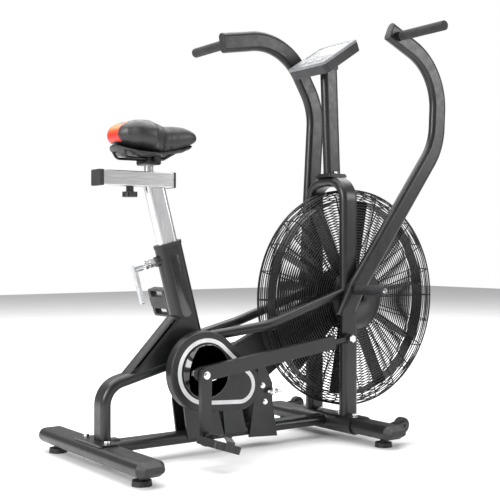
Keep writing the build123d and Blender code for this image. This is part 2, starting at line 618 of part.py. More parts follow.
with BuildPart() as saddle_clamp:
    with BuildSketch(Plane.XZ.offset(-CLAMP_HALF)):
        with Locations((PILLAR_X, CLAMP_Z + 3)):
            RectangleRounded(40, 30, 6)
    extrude(amount=2 * CLAMP_HALF)
    with BuildSketch(Plane.XY.offset(CLAMP_Z - 14)):
        with Locations((PILLAR_X, 0)):
            Circle(PILLAR_R)
    extrude(amount=26, mode=Mode.SUBTRACT)
    add(saddle_rails.part, mode=Mode.SUBTRACT)
    for side in (-1, 1):
        hex_y(PILLAR_X, CLAMP_Z + 4, side * CLAMP_HALF, side * (CLAMP_HALF + 9), 8)
keep(saddle_clamp, "saddle_clamp")

# ---- crank -------------------------------------------------------------------------
ROD_IN, ROD_OUT = ROD_Y - ROD_T / 2, ROD_Y + ROD_T / 2
ARM_IN = ROD_OUT + SIDE_GAP
ARM_OUT = ARM_IN + ARM_T
PIN_X = {-1: CRANK_X - THROW, 1: CRANK_X + THROW}   # right pin behind, left pin ahead
PEDAL_Z = {-1: CRANK_Z - ARM_LENGTH, 1: CRANK_Z + ARM_LENGTH}

FAN_BEARING_R = 13
FAN_HUB_BACK = FAN_Y - 30
HALF_BELT = BELT_WIDE / 2
with BuildPart() as bearings:
    # pairs of bearings: crank, jackshaft and fan
    rings = [
        (CRANK_X, CRANK_Z, BEARING_R, SPINDLE_R, -SHELL_HALF, -SHELL_HALF + 14),
        (CRANK_X, CRANK_Z, BEARING_R, SPINDLE_R, SHELL_HALF - 14, SHELL_HALF),
        (JACK_X, JACK_Z, JACK_BEARING_R, JACK_R, -JACK_HALF, -JACK_HALF + 11),
        (JACK_X, JACK_Z, JACK_BEARING_R, JACK_R, JACK_HALF - 11, JACK_HALF),
        (FAN_X, FAN_Z, FAN_BEARING_R, AXLE_R - RUN_FIT, FAN_HUB_BACK, FAN_HUB_BACK + 10),
        (FAN_X, FAN_Z, FAN_BEARING_R, AXLE_R - RUN_FIT, STAGE2_Y - 4, STAGE2_Y + HALF_BELT)]
    for x, z, outer, inner, y_from, y_to in rings:
        cylinder_y(x, z, y_from, y_to, outer)
        cylinder_y(x, z, y_from, y_to, inner + RUN_FIT, mode=Mode.SUBTRACT)
keep(bearings, "bearings")

with BuildPart() as crank_spindle:
    # spindle with the two inner webs and their pins
    cylinder_y(CRANK_X, CRANK_Z, -WEB_Y - WEB_T, WEB_Y + WEB_T, SPINDLE_R)
    for side in (-1, 1):
        pin_x = PIN_X[side]
        hull_y([(CRANK_X, CRANK_Z, 21), (pin_x, CRANK_Z, 17)], side * WEB_Y, side * (WEB_Y + WEB_T))
        cylinder_y(pin_x, CRANK_Z, side * WEB_Y, side * ARM_OUT, PIN_R)
keep(crank_spindle, "crank_spindle")

PEDAL_BORE_R = 7
with BuildPart() as crank_arms:
    for side in (-1, 1):
        pin_x = PIN_X[side]
        hull_y([(pin_x, CRANK_Z, 17), (pin_x, PEDAL_Z[side], 13)], side * ARM_IN, side * ARM_OUT)
        cylinder_y(pin_x, CRANK_Z, side * ARM_IN, side * ARM_OUT, PIN_R, mode=Mode.SUBTRACT)
        cylinder_y(pin_x, PEDAL_Z[side], side * ARM_IN, side * ARM_OUT, PEDAL_BORE_R, mode=Mode.SUBTRACT)
keep(crank_arms, "crank_arms")

with BuildPart() as crank_nuts:
    for side in (-1, 1):
        cylinder_y(PIN_X[side], CRANK_Z, side * ARM_OUT, side * (ARM_OUT + 2), PIN_R + 2)
        hex_y(PIN_X[side], CRANK_Z, side * (ARM_OUT + 2), side * (ARM_OUT + 7), PIN_R - 1)
keep(crank_nuts, "crank_nuts")

# pedals: flat cage bodies, each with a strap, on fixed spindles
PEDAL_WIDE, PEDAL_LONG, PEDAL_THICK = 92, 84, 20
PEDAL_START = ARM_OUT + 10
PEDAL_END = PEDAL_START + PEDAL_WIDE
PEDAL_SPINDLE_R, PEDAL_FLANGE_R = 6, 9
STRAP_WIDE, STRAP_T, STRAP_LIFT = 26, 3, 15
with BuildPart() as pedal_spindles:
    for side in (-1, 1):
        x, z = PIN_X[side], PEDAL_Z[side]
        cylinder_y(x, z, side * ARM_IN, side * ARM_OUT, PEDAL_BORE_R)
        cylinder_y(x, z, side * ARM_OUT, side * (PEDAL_START - 1), PEDAL_FLANGE_R)
        cylinder_y(x, z, side * (PEDAL_START - 1), side * (PEDAL_END - 6), PEDAL_SPINDLE_R)
keep(pedal_spindles, "pedal_spindles")

for side, hand, turn in ((-1, "right", 19), (1, "left", 72)):
    x, z = PIN_X[side], PEDAL_Z[side]
    half, lift = PEDAL_WIDE / 2, PEDAL_THICK / 2
    centre = Plane(origin=(x, side * (PEDAL_START + half), z)).rotated((0, turn, 0))
    with BuildPart() as pedal:
        with BuildSketch(centre.offset(-lift)) as body:
            RectangleRounded(PEDAL_LONG, PEDAL_WIDE, 10)
            with Locations((-27, 0), (27, 0)):
                RectangleRounded(18, PEDAL_WIDE - 26, 4, mode=Mode.SUBTRACT)
        extrude(body.sketch, amount=PEDAL_THICK)
        cylinder_y(x, z, side * (PEDAL_START - 1), side * (PEDAL_END - 6), PEDAL_SPINDLE_R + RUN_FIT,
                   mode=Mode.SUBTRACT)
    keep(pedal, f"pedal_{hand}")
    # strap over the pedal: a flat band, slotted round the spindle, with a buckle
    with BuildPart() as pedal_strap:
        with BuildSketch(centre * Plane.YZ.offset(-STRAP_WIDE / 2)) as strap_loop:
            Polygon((-half - STRAP_T, -lift), (-half - STRAP_T, lift + 6), (-half + 15, lift + STRAP_LIFT),
                    (half - 15, lift + STRAP_LIFT), (half + STRAP_T, lift + 6), (half + STRAP_T, -lift),
                    align=None)
            Polygon((-half - SADDLE_GAP, -lift), (-half - SADDLE_GAP, lift + 4),
                    (-half + 16, lift + STRAP_LIFT - STRAP_T), (half - 16, lift + STRAP_LIFT - STRAP_T),
                    (half + SADDLE_GAP, lift + 4), (half + SADDLE_GAP, -lift),
                    align=None, mode=Mode.SUBTRACT)
        extrude(strap_loop.sketch, amount=STRAP_WIDE)
        with BuildSketch(centre.offset(lift + STRAP_LIFT - 1)) as buckle:
            with Locations((0, side * (half - 26))):
                RectangleRounded(STRAP_WIDE + 4, 16, 3)
        extrude(buckle.sketch, amount=6)
        cylinder_y(x, z, side * ARM_OUT, side * PEDAL_END, PEDAL_FLANGE_R + 0.5, mode=Mode.SUBTRACT)
    keep(pedal_strap, f"pedal_strap_{hand}")

# ---- push rods -------------------------------------------------------------------------
LEVER_TURN = {-1: 0, 1: -LEVER_SWING}
ROD_EYE_R = 15
ROD_EYE_LEAD = 58         # eye centre ahead of the square bar's end
ROD_WALL = 2
ROD_NECK = 6.5            # half thickness of the eye's shank


def rod_front(side):
    """Push-rod pivot on the lever, in the rest pose."""
    dx, dz = lean(LEVER_DROP, LEVER_TURN[side])
    return (PIVOT_X + dx, PIVOT_Z + dz)


def rod_bar(start, end, back, front, half):
    """Corners of a bar along the line from start to end."""
    length = hypot(end[0] - start[0], end[1] - start[1])
    ux, uz = (end[0] - start[0]) / length, (end[1] - start[1]) / length
    corners = []
    for along, across in ((back, -half), (length - front, -half), (length - front, half), (back, half)):
        corners.append((start[0] + ux * along - uz * across, start[1] + uz * along + ux * across))
    return corners


for side, hand in ((-1, "right"), (1, "left")):
    rear = (PIN_X[side], CRANK_Z)
    front = rod_front(side)
    reach = hypot(front[0] - rear[0], front[1] - rear[1])
    with BuildPart() as push_rod:
        slab_y(rod_bar(rear, front, 0, ROD_EYE_LEAD, ROD_H / 2), side * ROD_IN, side * ROD_OUT)
        cylinder_y(*rear, side * ROD_IN, side * ROD_OUT, ROD_H / 2)
        slab_y(rod_bar(rear, front, 26, ROD_EYE_LEAD + 12, ROD_H / 2 - ROD_WALL),
               side * (ROD_IN + ROD_WALL), side * (ROD_OUT - ROD_WALL), mode=Mode.SUBTRACT)
        cylinder_y(*rear, side * ROD_IN, side * ROD_OUT, PIN_R + RUN_FIT, mode=Mode.SUBTRACT)
        # threaded eye with its stud and nut
        cylinder_y(*front, side * (ROD_IN + 1), side * (ROD_OUT - 1), ROD_EYE_R)
        slab_y(rod_bar(rear, front, reach - ROD_EYE_LEAD - 2, ROD_EYE_R - 4, ROD_NECK),
               side * (ROD_Y - ROD_NECK), side * (ROD_Y + ROD_NECK))
        cylinder_y(*front, side * ROD_IN, side * (ROD_OUT + 1), 6)
        hex_y(*front, side * (ROD_OUT + 1), side * (ROD_OUT + 9), 11)
    keep(push_rod, f"push_rod_{hand}")

# ---- arm levers ----------------------------------------------------------------------------
LEVER_PATH = [(-42, -86), (10, 6), (346, 445), (357.5, 686), (147, 780)]
LEVER_BENDS = [150, 190, 186]
LEVER_IN, LEVER_OUT = LEVER_Y - LEVER_T / 2, LEVER_Y + LEVER_T / 2
HUB_R = 22
PIVOT_R = 12
ROD_PLATE_T = 10
GRIP_BACK = 29            # grip centre before the lever's end
GRIP_START = LEVER_OUT + 10
last, before = LEVER_PATH[-1], LEVER_PATH[-2]
reach = hypot(last[0] - before[0], last[1] - before[1])
END_AIM = ((last[0] - before[0]) / reach, (last[1] - before[1]) / reach)


def on_lever(point, side):
    """World (x, z) of a point given from the lever's pivot, lever forward."""
    dx, dz = lean(point, LEVER_TURN[side])
    return (PIVOT_X + dx, PIVOT_Z + dz)


for side, hand in ((-1, "right"), (1, "left")):
    grip_at = on_lever((last[0] - GRIP_BACK * END_AIM[0], last[1] - GRIP_BACK * END_AIM[1]), side)
    with BuildPart() as lever:
        # curved flat-oval tube, closed at its upper end
        with BuildLine() as lever_line:
            FilletPolyline(*[(x, side * LEVER_Y, z) for x, z in (on_lever(p, side) for p in LEVER_PATH)],
                           radius=LEVER_BENDS)
        first = lever_line.line % 0
        start = Plane(origin=lever_line.line @ 0, x_dir=(first.Z, 0, -first.X), z_dir=first)
        with BuildSketch(start) as lever_section:
            SlotOverall(TUBE_WIDE, LEVER_T)
            SlotOverall(TUBE_WIDE - 2 * WALL, LEVER_T - 2 * WALL, mode=Mode.SUBTRACT)
        sweep(lever_section.sketch, path=lever_line.line)
        final = lever_line.line % 1
        end = Plane(origin=lever_line.line @ 1, x_dir=(final.Z, 0, -final.X), z_dir=final)
        with BuildSketch(end) as end_cap:
            SlotOverall(TUBE_WIDE, LEVER_T)
        extrude(end_cap.sketch, amount=WALL)
        # bar that carries the grip
        cylinder_y(*grip_at, side * (LEVER_OUT - WALL), side * (GRIP_END - 5), GRIP_BAR_R)
        cylinder_y(*grip_at, side * (LEVER_OUT - WALL), side * (LEVER_OUT + 4), GRIP_BAR_R + 4)
        # pivot hub and the arm down to the push rod
        cylinder_y(PIVOT_X, PIVOT_Z, side * LEVER_IN, side * LEVER_OUT, HUB_R)
        hull_y([(*rod_front(side), 17), (*on_lever((-30, -72), side), 26)],
               side * (LEVER_OUT - ROD_PLATE_T), side * LEVER_OUT)
        cylinder_y(PIVOT_X, PIVOT_Z, side * LEVER_IN, side * LEVER_OUT, PIVOT_R + RUN_FIT,
                   mode=Mode.SUBTRACT)
    keep(lever, f"lever_{hand}")
    with BuildPart() as grip:
        cylinder_y(*grip_at, side * GRIP_START, side * GRIP_END, GRIP_R)
        fillet(grip.faces().sort_by(Axis.Y)[-1 if side > 0 else 0].edges(), radius=4)
        cylinder_y(*grip_at, side * GRIP_START, side * (GRIP_END - 5), GRIP_BAR_R, mode=Mode.SUBTRACT)
    keep(grip, f"grip_{hand}")

LEG_IN, LEG_OUT = FORK_Y - TUBE_THIN / 2, FORK_Y + TUBE_THIN / 2
with BuildPart() as lever_pivots:
    for side in (-1, 1):
        cylinder_y(PIVOT_X, PIVOT_Z, side * LEG_IN, side * LEG_OUT, PIVOT_BORE_R)
        cylinder_y(PIVOT_X, PIVOT_Z, side * LEG_OUT, side * (LEVER_IN - 1), PIVOT_R + 6)
        cylinder_y(PIVOT_X, PIVOT_Z, side * LEG_OUT, side * (LEVER_OUT + SIDE_GAP), PIVOT_R)
keep(lever_pivots, "lever_pivots")

with BuildPart() as foot_pegs:
    for side in (-1, 1):
        cylinder_y(PIVOT_X, PIVOT_Z, side * (LEVER_OUT + SIDE_GAP), side * PEG_END, PEG_R)
keep(foot_pegs, "foot_pegs")

# ---- drive: first belt, jackshaft, second belt ------------------------------------------
COVER_SEAM = COVER_IN + COVER_WALL
SPINDLE_HOLE = SPINDLE_R + 4
cover_ends = [(CRANK_X, CRANK_Z, COVER_R1), (JACK_X, JACK_Z, COVER_R2)]
BAND_INSET, BAND_WIDE, BAND_PROUD = 19, 11, 1.2


def inset_ends(ends, inset):
    return [(x, z, r - inset) for x, z, r in ends]


with BuildPart() as drive_cover:
    hull_y(cover_ends, -COVER_SEAM, -COVER_OUT)
    fillet(drive_cover.faces().sort_by(Axis.Y)[0].edges(), radius=5)
    hull_y(inset_ends(cover_ends, COVER_WALL), -COVER_SEAM, -(COVER_OUT - COVER_WALL), mode=Mode.SUBTRACT)
    cylinder_y(CRANK_X, CRANK_Z, -COVER_OUT, -(COVER_OUT - 1.5), 63, mode=Mode.SUBTRACT)
    cylinder_y(CRANK_X, CRANK_Z, -COVER_OUT, -COVER_SEAM, SPINDLE_HOLE, mode=Mode.SUBTRACT)
keep(drive_cover, "drive_cover")

with BuildPart() as drive_cover_back:
    hull_y(cover_ends, -COVER_IN, -COVER_SEAM)
    cylinder_y(CRANK_X, CRANK_Z, -COVER_IN, -COVER_SEAM, SPINDLE_HOLE, mode=Mode.SUBTRACT)
    cylinder_y(JACK_X, JACK_Z, -COVER_IN, -COVER_SEAM, JACK_R + 3, mode=Mode.SUBTRACT)
keep(drive_cover_back, "drive_cover_back")

with BuildPart() as cover_band:
    hull_y(inset_ends(cover_ends, BAND_INSET), -COVER_OUT, -COVER_OUT - BAND_PROUD)
    hull_y(inset_ends(cover_ends, BAND_INSET + BAND_WIDE), -COVER_OUT, -COVER_OUT - BAND_PROUD,
           mode=Mode.SUBTRACT)
keep(cover_band, "cover_band")

SPOKED_FROM = 40          # pulleys wider than this are thinned to a web


def pulley(x, z, y, radius, bore):
    """Pulley on its shaft: rim, thin web and hub."""
    cylinder_y(x, z, y - HALF_BELT, y + HALF_BELT, radius)
    if radius > SPOKED_FROM:
        cylinder_y(x, z, y - HALF_BELT, y - 3, radius - 8, mode=Mode.SUBTRACT)
        cylinder_y(x, z, y + 3, y + HALF_BELT, radius - 8, mode=Mode.SUBTRACT)
        cylinder_y(x, z, y - HALF_BELT, y + HALF_BELT, bore + 8)
    cylinder_y(x, z, y - HALF_BELT, y + HALF_BELT, bore, mode=Mode.SUBTRACT)


def belt(ends, y):
    """Flat belt round two pulleys."""
    hull_y([(bx, bz, r + BELT_GAP + BELT_T) for bx, bz, r in ends], y - HALF_BELT, y + HALF_BELT)
    hull_y([(bx, bz, r + BELT_GAP) for bx, bz, r in ends], y - HALF_BELT, y + HALF_BELT,
           mode=Mode.SUBTRACT)


with BuildPart() as crank_pulley:
    pulley(CRANK_X, CRANK_Z, -STAGE1_Y, BIG_PULLEY_R, SPINDLE_R)
keep(crank_pulley, "crank_pulley")

with BuildPart() as first_belt:
    belt([(CRANK_X, CRANK_Z, BIG_PULLEY_R), (JACK_X, JACK_Z, SMALL_PULLEY_R)], -STAGE1_Y)
keep(first_belt, "first_belt")

with BuildPart() as jackshaft:
    # shaft with its two pulleys
    pulley(JACK_X, JACK_Z, -STAGE1_Y, SMALL_PULLEY_R, JACK_R)
    pulley(JACK_X, JACK_Z, STAGE2_Y, STAGE2_R, JACK_R)
    cylinder_y(JACK_X, JACK_Z, -STAGE1_Y - HALF_BELT - 2, STAGE2_Y + HALF_BELT, JACK_R)
keep(jackshaft, "jackshaft")

# belt tensioner: two plates beside the base tube, a roller and a draw bolt
IDLER_X, IDLER_Z, IDLER_R, IDLER_AXLE_R = -69, 175, 18, 6
with BuildPart() as tensioner_plates:
    for side in (-1, 1):
        slab_y([(-115, 32), (-16, 26), (-33, 120), (-34, 180), (-61, 232), (-83, 234), (-97, 150)],
               side * PLATE_IN, side * PLATE_OUT)
    cylinder_y(IDLER_X, IDLER_Z, -PLATE_OUT, STAGE2_Y + HALF_BELT, IDLER_AXLE_R)
keep(tensioner_plates, "tensioner_plates")

with BuildPart() as idler_roller:
    low, high = STAGE2_Y - HALF_BELT, STAGE2_Y + HALF_BELT
    cylinder_y(IDLER_X, IDLER_Z, low, high, IDLER_R)
    cylinder_y(IDLER_X, IDLER_Z, low, high, IDLER_AXLE_R + RUN_FIT, mode=Mode.SUBTRACT)
keep(idler_roller, "idler_roller")

DRAW_X, DRAW_Y, DRAW_Z = -59, -PLATE_OUT - 9, 157
with BuildPart() as draw_bolt:
    with BuildSketch(Plane.YZ.offset(DRAW_X)):
        with Locations((DRAW_Y, DRAW_Z)):
            Circle(4)
    extrude(amount=52)
    for along in (8, 28):
        with BuildSketch(Plane.YZ.offset(DRAW_X + along)):
            with Locations((DRAW_Y, DRAW_Z)):
                RegularPolygon(8, 6)
        extrude(amount=7)
    # bracket on the plate
    with BuildSketch(Plane.YZ.offset(DRAW_X + 15)):
        with Locations((DRAW_Y + 1, DRAW_Z)):
            Rectangle(16, 20)
    extrude(amount=7)
keep(draw_bolt, "draw_bolt")

BELT_COVER_IN, BELT_COVER_OUT, BELT_COVER_WALL = 40.5, 62.5, 2.5
belt_cover_ends = [(JACK_X, JACK_Z, 60), (IDLER_X, IDLER_Z, 30), (FAN_X, FAN_Z, 42)]
with BuildPart() as belt_cover:
    hull_y(belt_cover_ends, BELT_COVER_IN + BELT_COVER_WALL, BELT_COVER_OUT)
    hull_y(inset_ends(belt_cover_ends, BELT_COVER_WALL), BELT_COVER_IN + BELT_COVER_WALL,
           BELT_COVER_OUT - BELT_COVER_WALL, mode=Mode.SUBTRACT)
    cylinder_y(FAN_X, FAN_Z, BELT_COVER_IN, BELT_COVER_OUT, AXLE_R + 1, mode=Mode.SUBTRACT)
    # the roller's axle is screwed in through a boss
    cylinder_y(IDLER_X, IDLER_Z, BELT_COVER_OUT - BELT_COVER_WALL, BELT_COVER_OUT, IDLER_AXLE_R)
keep(belt_cover, "belt_cover")

FAN_HUB_R = 19
with BuildPart() as belt_cover_back:
    hull_y(belt_cover_ends, BELT_COVER_IN, BELT_COVER_IN + BELT_COVER_WALL)
    cylinder_y(FAN_X, FAN_Z, BELT_COVER_IN, BELT_COVER_OUT, FAN_HUB_R + 3, mode=Mode.SUBTRACT)
    cylinder_y(JACK_X, JACK_Z, BELT_COVER_IN, BELT_COVER_OUT, JACK_R + 3, mode=Mode.SUBTRACT)
    cylinder_y(IDLER_X, IDLER_Z, BELT_COVER_IN, BELT_COVER_OUT, IDLER_AXLE_R + 1, mode=Mode.SUBTRACT)
keep(belt_cover_back, "belt_cover_back")

with BuildPart() as second_belt:
    belt([(JACK_X, JACK_Z, STAGE2_R), (FAN_X, FAN_Z, FAN_PULLEY_R)], STAGE2_Y)
keep(second_belt, "second_belt")

# ---- fan and its cage ------------------------------------------------------------------
AXLE_HALF, AXLE_NUT_AT = 82, 70
with BuildPart() as fan_axle:
    cylinder_y(FAN_X, FAN_Z, -AXLE_HALF, AXLE_HALF, AXLE_R)
    for side in (-1, 1):
        hex_y(FAN_X, FAN_Z, side * AXLE_NUT_AT, side * (AXLE_NUT_AT + 8), 13)
keep(fan_axle, "fan_axle")

BLADE_T, RIM_T, RIM_WIDE, DISC_R = 2, 2, 38, 90
with BuildPart() as fan_wheel:
    # hub with its pulley, disc, blades and rim hoop
    cylinder_y(FAN_X, FAN_Z, FAN_HUB_BACK, STAGE2_Y - HALF_BELT, FAN_HUB_R)
    cylinder_y(FAN_X, FAN_Z, STAGE2_Y - HALF_BELT, STAGE2_Y + HALF_BELT, FAN_PULLEY_R)
    cylinder_y(FAN_X, FAN_Z, FAN_Y - 2, FAN_Y + 2, DISC_R)
    blade_from, blade_to = FAN_HUB_R + 8, FAN_R - RIM_T / 2
    with BuildSketch(side_plane(FAN_Y - BLADE_WIDE / 2)) as blades:
        with Locations((FAN_X, FAN_Z)):
            with PolarLocations((blade_from + blade_to) / 2, BLADES, start_angle=8):
                Rectangle(blade_to - blade_from, BLADE_T)
    extrude(blades.sketch, amount=-BLADE_WIDE)
    with BuildSketch(side_plane(FAN_Y - RIM_WIDE / 2)) as rim:
        with Locations((FAN_X, FAN_Z)):
            Circle(FAN_R)
            Circle(FAN_R - RIM_T, mode=Mode.SUBTRACT)
    extrude(rim.sketch, amount=-RIM_WIDE)
    cylinder_y(FAN_X, FAN_Z, FAN_HUB_BACK, STAGE2_Y + HALF_BELT, FAN_BEARING_R + RUN_FIT,
               mode=Mode.SUBTRACT)
keep(fan_wheel, "fan_wheel")

SPOKE_END = CAGE_R - CAGE_WIRE
RING_STEP = (CAGE_R - 10 - HUB_PLATE_R) / CAGE_RINGS
SIDE_RINGS = 3
for side, hand in ((-1, "right"), (1, "left")):
    face = FAN_Y + side * CAGE_HALF
    under = face - side * CAGE_WIRE
    axle_hole = AXLE_R + RUN_FIT if side < 0 else FAN_HUB_R + 3
    with BuildPart() as fan_cage:
        cylinder_y(FAN_X, FAN_Z, face, face - side * 2 * CAGE_WIRE, HUB_PLATE_R)
        cylinder_y(FAN_X, FAN_Z, face, face - side * 2 * CAGE_WIRE, axle_hole, mode=Mode.SUBTRACT)
        # concentric wires on the face, widest first
        with BuildSketch(side_plane(min(face, under))) as wires:
            with Locations((FAN_X, FAN_Z)):
                for i in range(CAGE_RINGS, 0, -1):
                    Circle(HUB_PLATE_R + i * RING_STEP)
                    Circle(HUB_PLATE_R + i * RING_STEP - CAGE_WIRE, mode=Mode.SUBTRACT)
        extrude(wires.sketch, amount=-CAGE_WIRE)
        # spokes just under the wires, turned along the cage's side
        low = min(under + side, under - side * (CAGE_WIRE - 1))
        with BuildSketch(side_plane(low)) as spokes:
            with Locations((FAN_X, FAN_Z)):
                with PolarLocations((HUB_PLATE_R - 4 + SPOKE_END) / 2, CAGE_SPOKES, start_angle=5):
                    Rectangle(SPOKE_END - HUB_PLATE_R + 4, CAGE_WIRE)
        extrude(spokes.sketch, amount=-CAGE_WIRE)
        middle = FAN_Y + side * 0.5
        with BuildSketch(side_plane(min(middle, face - side * 2))) as rungs:
            with Locations((FAN_X, FAN_Z)):
                with PolarLocations(SPOKE_END - CAGE_WIRE / 2, CAGE_SPOKES, start_angle=5):
                    Rectangle(CAGE_WIRE, CAGE_WIRE)
        extrude(rungs.sketch, amount=-abs(face - side * 2 - middle))
        # wires round the side
        for i in range(SIDE_RINGS):
            at = middle + side * i * (CAGE_HALF - 10) / (SIDE_RINGS - 1)
            with BuildSketch(side_plane(min(at, at + side * CAGE_WIRE))) as side_wire:
                with Locations((FAN_X, FAN_Z)):
                    Circle(CAGE_R)
                    Circle(CAGE_R - CAGE_WIRE - 1, mode=Mode.SUBTRACT)
            extrude(side_wire.sketch, amount=-CAGE_WIRE)
    keep(fan_cage, f"fan_cage_{hand}")

# ---- console ------------------------------------------------------------------------------
POST_LEAN = 2.4
POST_X = FORK_X + 4
POST_START = FORK_TOP + TUBE_THIN / 2 + POST_FOOT_T
FLANGE_T = 4
CONSOLE_POST_WIDE, CONSOLE_POST_THIN = TUBE_WIDE - 2, TUBE_THIN - 1
POST_UP = lean((0, 1), -POST_LEAN)
POST_FORE = lean((1, 0), -POST_LEAN)


def post_plane(along):
    """Plane across the console post, along mm above the fork's pad."""
    return Plane(origin=(POST_X + along * POST_UP[0], 0, POST_START + along * POST_UP[1]),
                 x_dir=(POST_FORE[0], 0, POST_FORE[1]), z_dir=(POST_UP[0], 0, POST_UP[1]))


slope = lean((1, 0), -CONSOLE_TILT)
normal = lean((0, 1), -CONSOLE_TILT)


def console_plane(lift):
    """Plane of the console's face, raised along its normal; local x runs up the slope."""
    return Plane(origin=(CONSOLE_AT[0] + normal[0] * lift, 0, CONSOLE_AT[1] + normal[1] * lift),
                 x_dir=(slope[0], 0, slope[1]), z_dir=(normal[0], 0, normal[1]))


with BuildPart() as console_post:
    # post, flange at its foot and the head that the console is screwed to
    with BuildSketch(post_plane(FLANGE_T / 2)):
        SlotOverall(CONSOLE_POST_WIDE, CONSOLE_POST_THIN)
        SlotOverall(CONSOLE_POST_WIDE - 2 * WALL, CONSOLE_POST_THIN - 2 * WALL, mode=Mode.SUBTRACT)
    extrude(amount=POST_TOP - POST_START)
    with BuildSketch(Plane.XY.offset(POST_START)):
        with Locations((FORK_X + 2, 0)):
            RectangleRounded(TUBE_WIDE + 6, 62, 6)
    extrude(amount=FLANGE_T)
    with BuildSketch(post_plane(POST_TOP - POST_START)):
        SlotOverall(TUBE_WIDE + 4, TUBE_THIN + 12)
    extrude(amount=60)
    with BuildSketch(console_plane(-CONSOLE_T)):
        Rectangle(4 * CONSOLE_DEEP, 4 * CONSOLE_WIDE)
    extrude(amount=120, mode=Mode.SUBTRACT)
keep(console_post, "console_post")

CONSOLE_SPLIT = 10
SCREEN_GAP = 0.2
with BuildPart() as console_base:
    with BuildSketch(console_plane(-CONSOLE_SPLIT)):
        RectangleRounded(CONSOLE_DEEP, CONSOLE_WIDE, 16)
    extrude(amount=-(CONSOLE_T - CONSOLE_SPLIT), taper=8)
    with BuildSketch(console_plane(-CONSOLE_SPLIT)):
        RectangleRounded(CONSOLE_DEEP - 8, CONSOLE_WIDE - 8, 12)
    extrude(amount=-(CONSOLE_T - CONSOLE_SPLIT - 4), taper=8, mode=Mode.SUBTRACT)
keep(console_base, "console_base")

with BuildPart() as console_face:
    with BuildSketch(console_plane(-CONSOLE_SPLIT)):
        RectangleRounded(CONSOLE_DEEP, CONSOLE_WIDE, 16)
    extrude(amount=CONSOLE_SPLIT)
    fillet(console_face.faces().sort_by(Axis.Z)[-1].edges(), radius=3)
    with BuildSketch(console_plane(-CONSOLE_SPLIT)):
        RectangleRounded(CONSOLE_DEEP - 8, CONSOLE_WIDE - 8, 12)
    extrude(amount=CONSOLE_SPLIT - 4, mode=Mode.SUBTRACT)
    with BuildSketch(console_plane(0)):
        with Locations((SCREEN_AT, 0)):
            RectangleRounded(SCREEN_DEEP, SCREEN_WIDE, 4)
        with Locations((BUTTON_AT, 0)):
            with GridLocations(0, BUTTON_STEP, 1, BUTTONS):
                RectangleRounded(BUTTON_DEEP, BUTTON_WIDE, 3)
    extrude(amount=-CONSOLE_SPLIT, mode=Mode.SUBTRACT)
keep(console_face, "console_face")

with BuildPart() as console_screen:
    with BuildSketch(console_plane(-1)):
        with Locations((SCREEN_AT, 0)):
            RectangleRounded(SCREEN_DEEP - 2 * SCREEN_GAP, SCREEN_WIDE - 2 * SCREEN_GAP, 4)
    extrude(amount=-3)
keep(console_screen, "console_screen")

with BuildPart() as console_keys:
    with BuildSketch(console_plane(-3)):
        with Locations((BUTTON_AT, 0)):
            with GridLocations(0, BUTTON_STEP, 1, BUTTONS):
                RectangleRounded(BUTTON_DEEP - 2 * SCREEN_GAP, BUTTON_WIDE - 2 * SCREEN_GAP, 3)
    extrude(amount=4.5)
keep(console_keys, "console_keys")

# ---- bolts ----------------------------------------------------------------------------------
MOUNT_BOLT_R, SMALL_BOLT_R = 8, 6
WASHER_T = 1.5


def hex_bolt(plane, radius):
    """Hexagon bolt head on its washer, standing on a plane."""
    with BuildPart(mode=Mode.PRIVATE) as bolt:
        with BuildSketch(plane) as washer:
            Circle(1.3 * radius)
        extrude(washer.sketch, amount=WASHER_T)
        with BuildSketch(plane.offset(WASHER_T)) as head:
            RegularPolygon(radius, 6)
        extrude(head.sketch, amount=0.75 * radius)
    return bolt.part


bolt_places = [(x, side * y, z, radius) for side in (-1, 1) for x, y, z, radius in (
    (REAR_X, 58, SLEEVE_TOP, MOUNT_BOLT_R), (FRONT_X, 113, SLEEVE_TOP, MOUNT_BOLT_R),
    (FRONT_X, 46, SLEEVE_TOP, MOUNT_BOLT_R), (FORK_X + 2, 23, POST_START + FLANGE_T, SMALL_BOLT_R))]
with BuildPart() as frame_bolts:
    # mounts, console post, foot pegs and tensioner plates
    for x, y, z, radius in bolt_places:
        add(hex_bolt(Plane(origin=(x, y, z)), radius))
    for side in (-1, 1):
        outward = Plane(origin=(PIVOT_X, side * PEG_END, PIVOT_Z), x_dir=(1, 0, 0), z_dir=(0, side, 0))
        add(hex_bolt(outward, SMALL_BOLT_R))
    for x, z in ((-61, 128), (IDLER_X, IDLER_Z)):
        add(hex_bolt(Plane(origin=(x, -PLATE_OUT, z), x_dir=(1, 0, 0), z_dir=(0, -1, 0)), SMALL_BOLT_R))
keep(frame_bolts, "frame_bolts")
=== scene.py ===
import json
import math

import bmesh
import bpy
from mathutils import Matrix, Vector


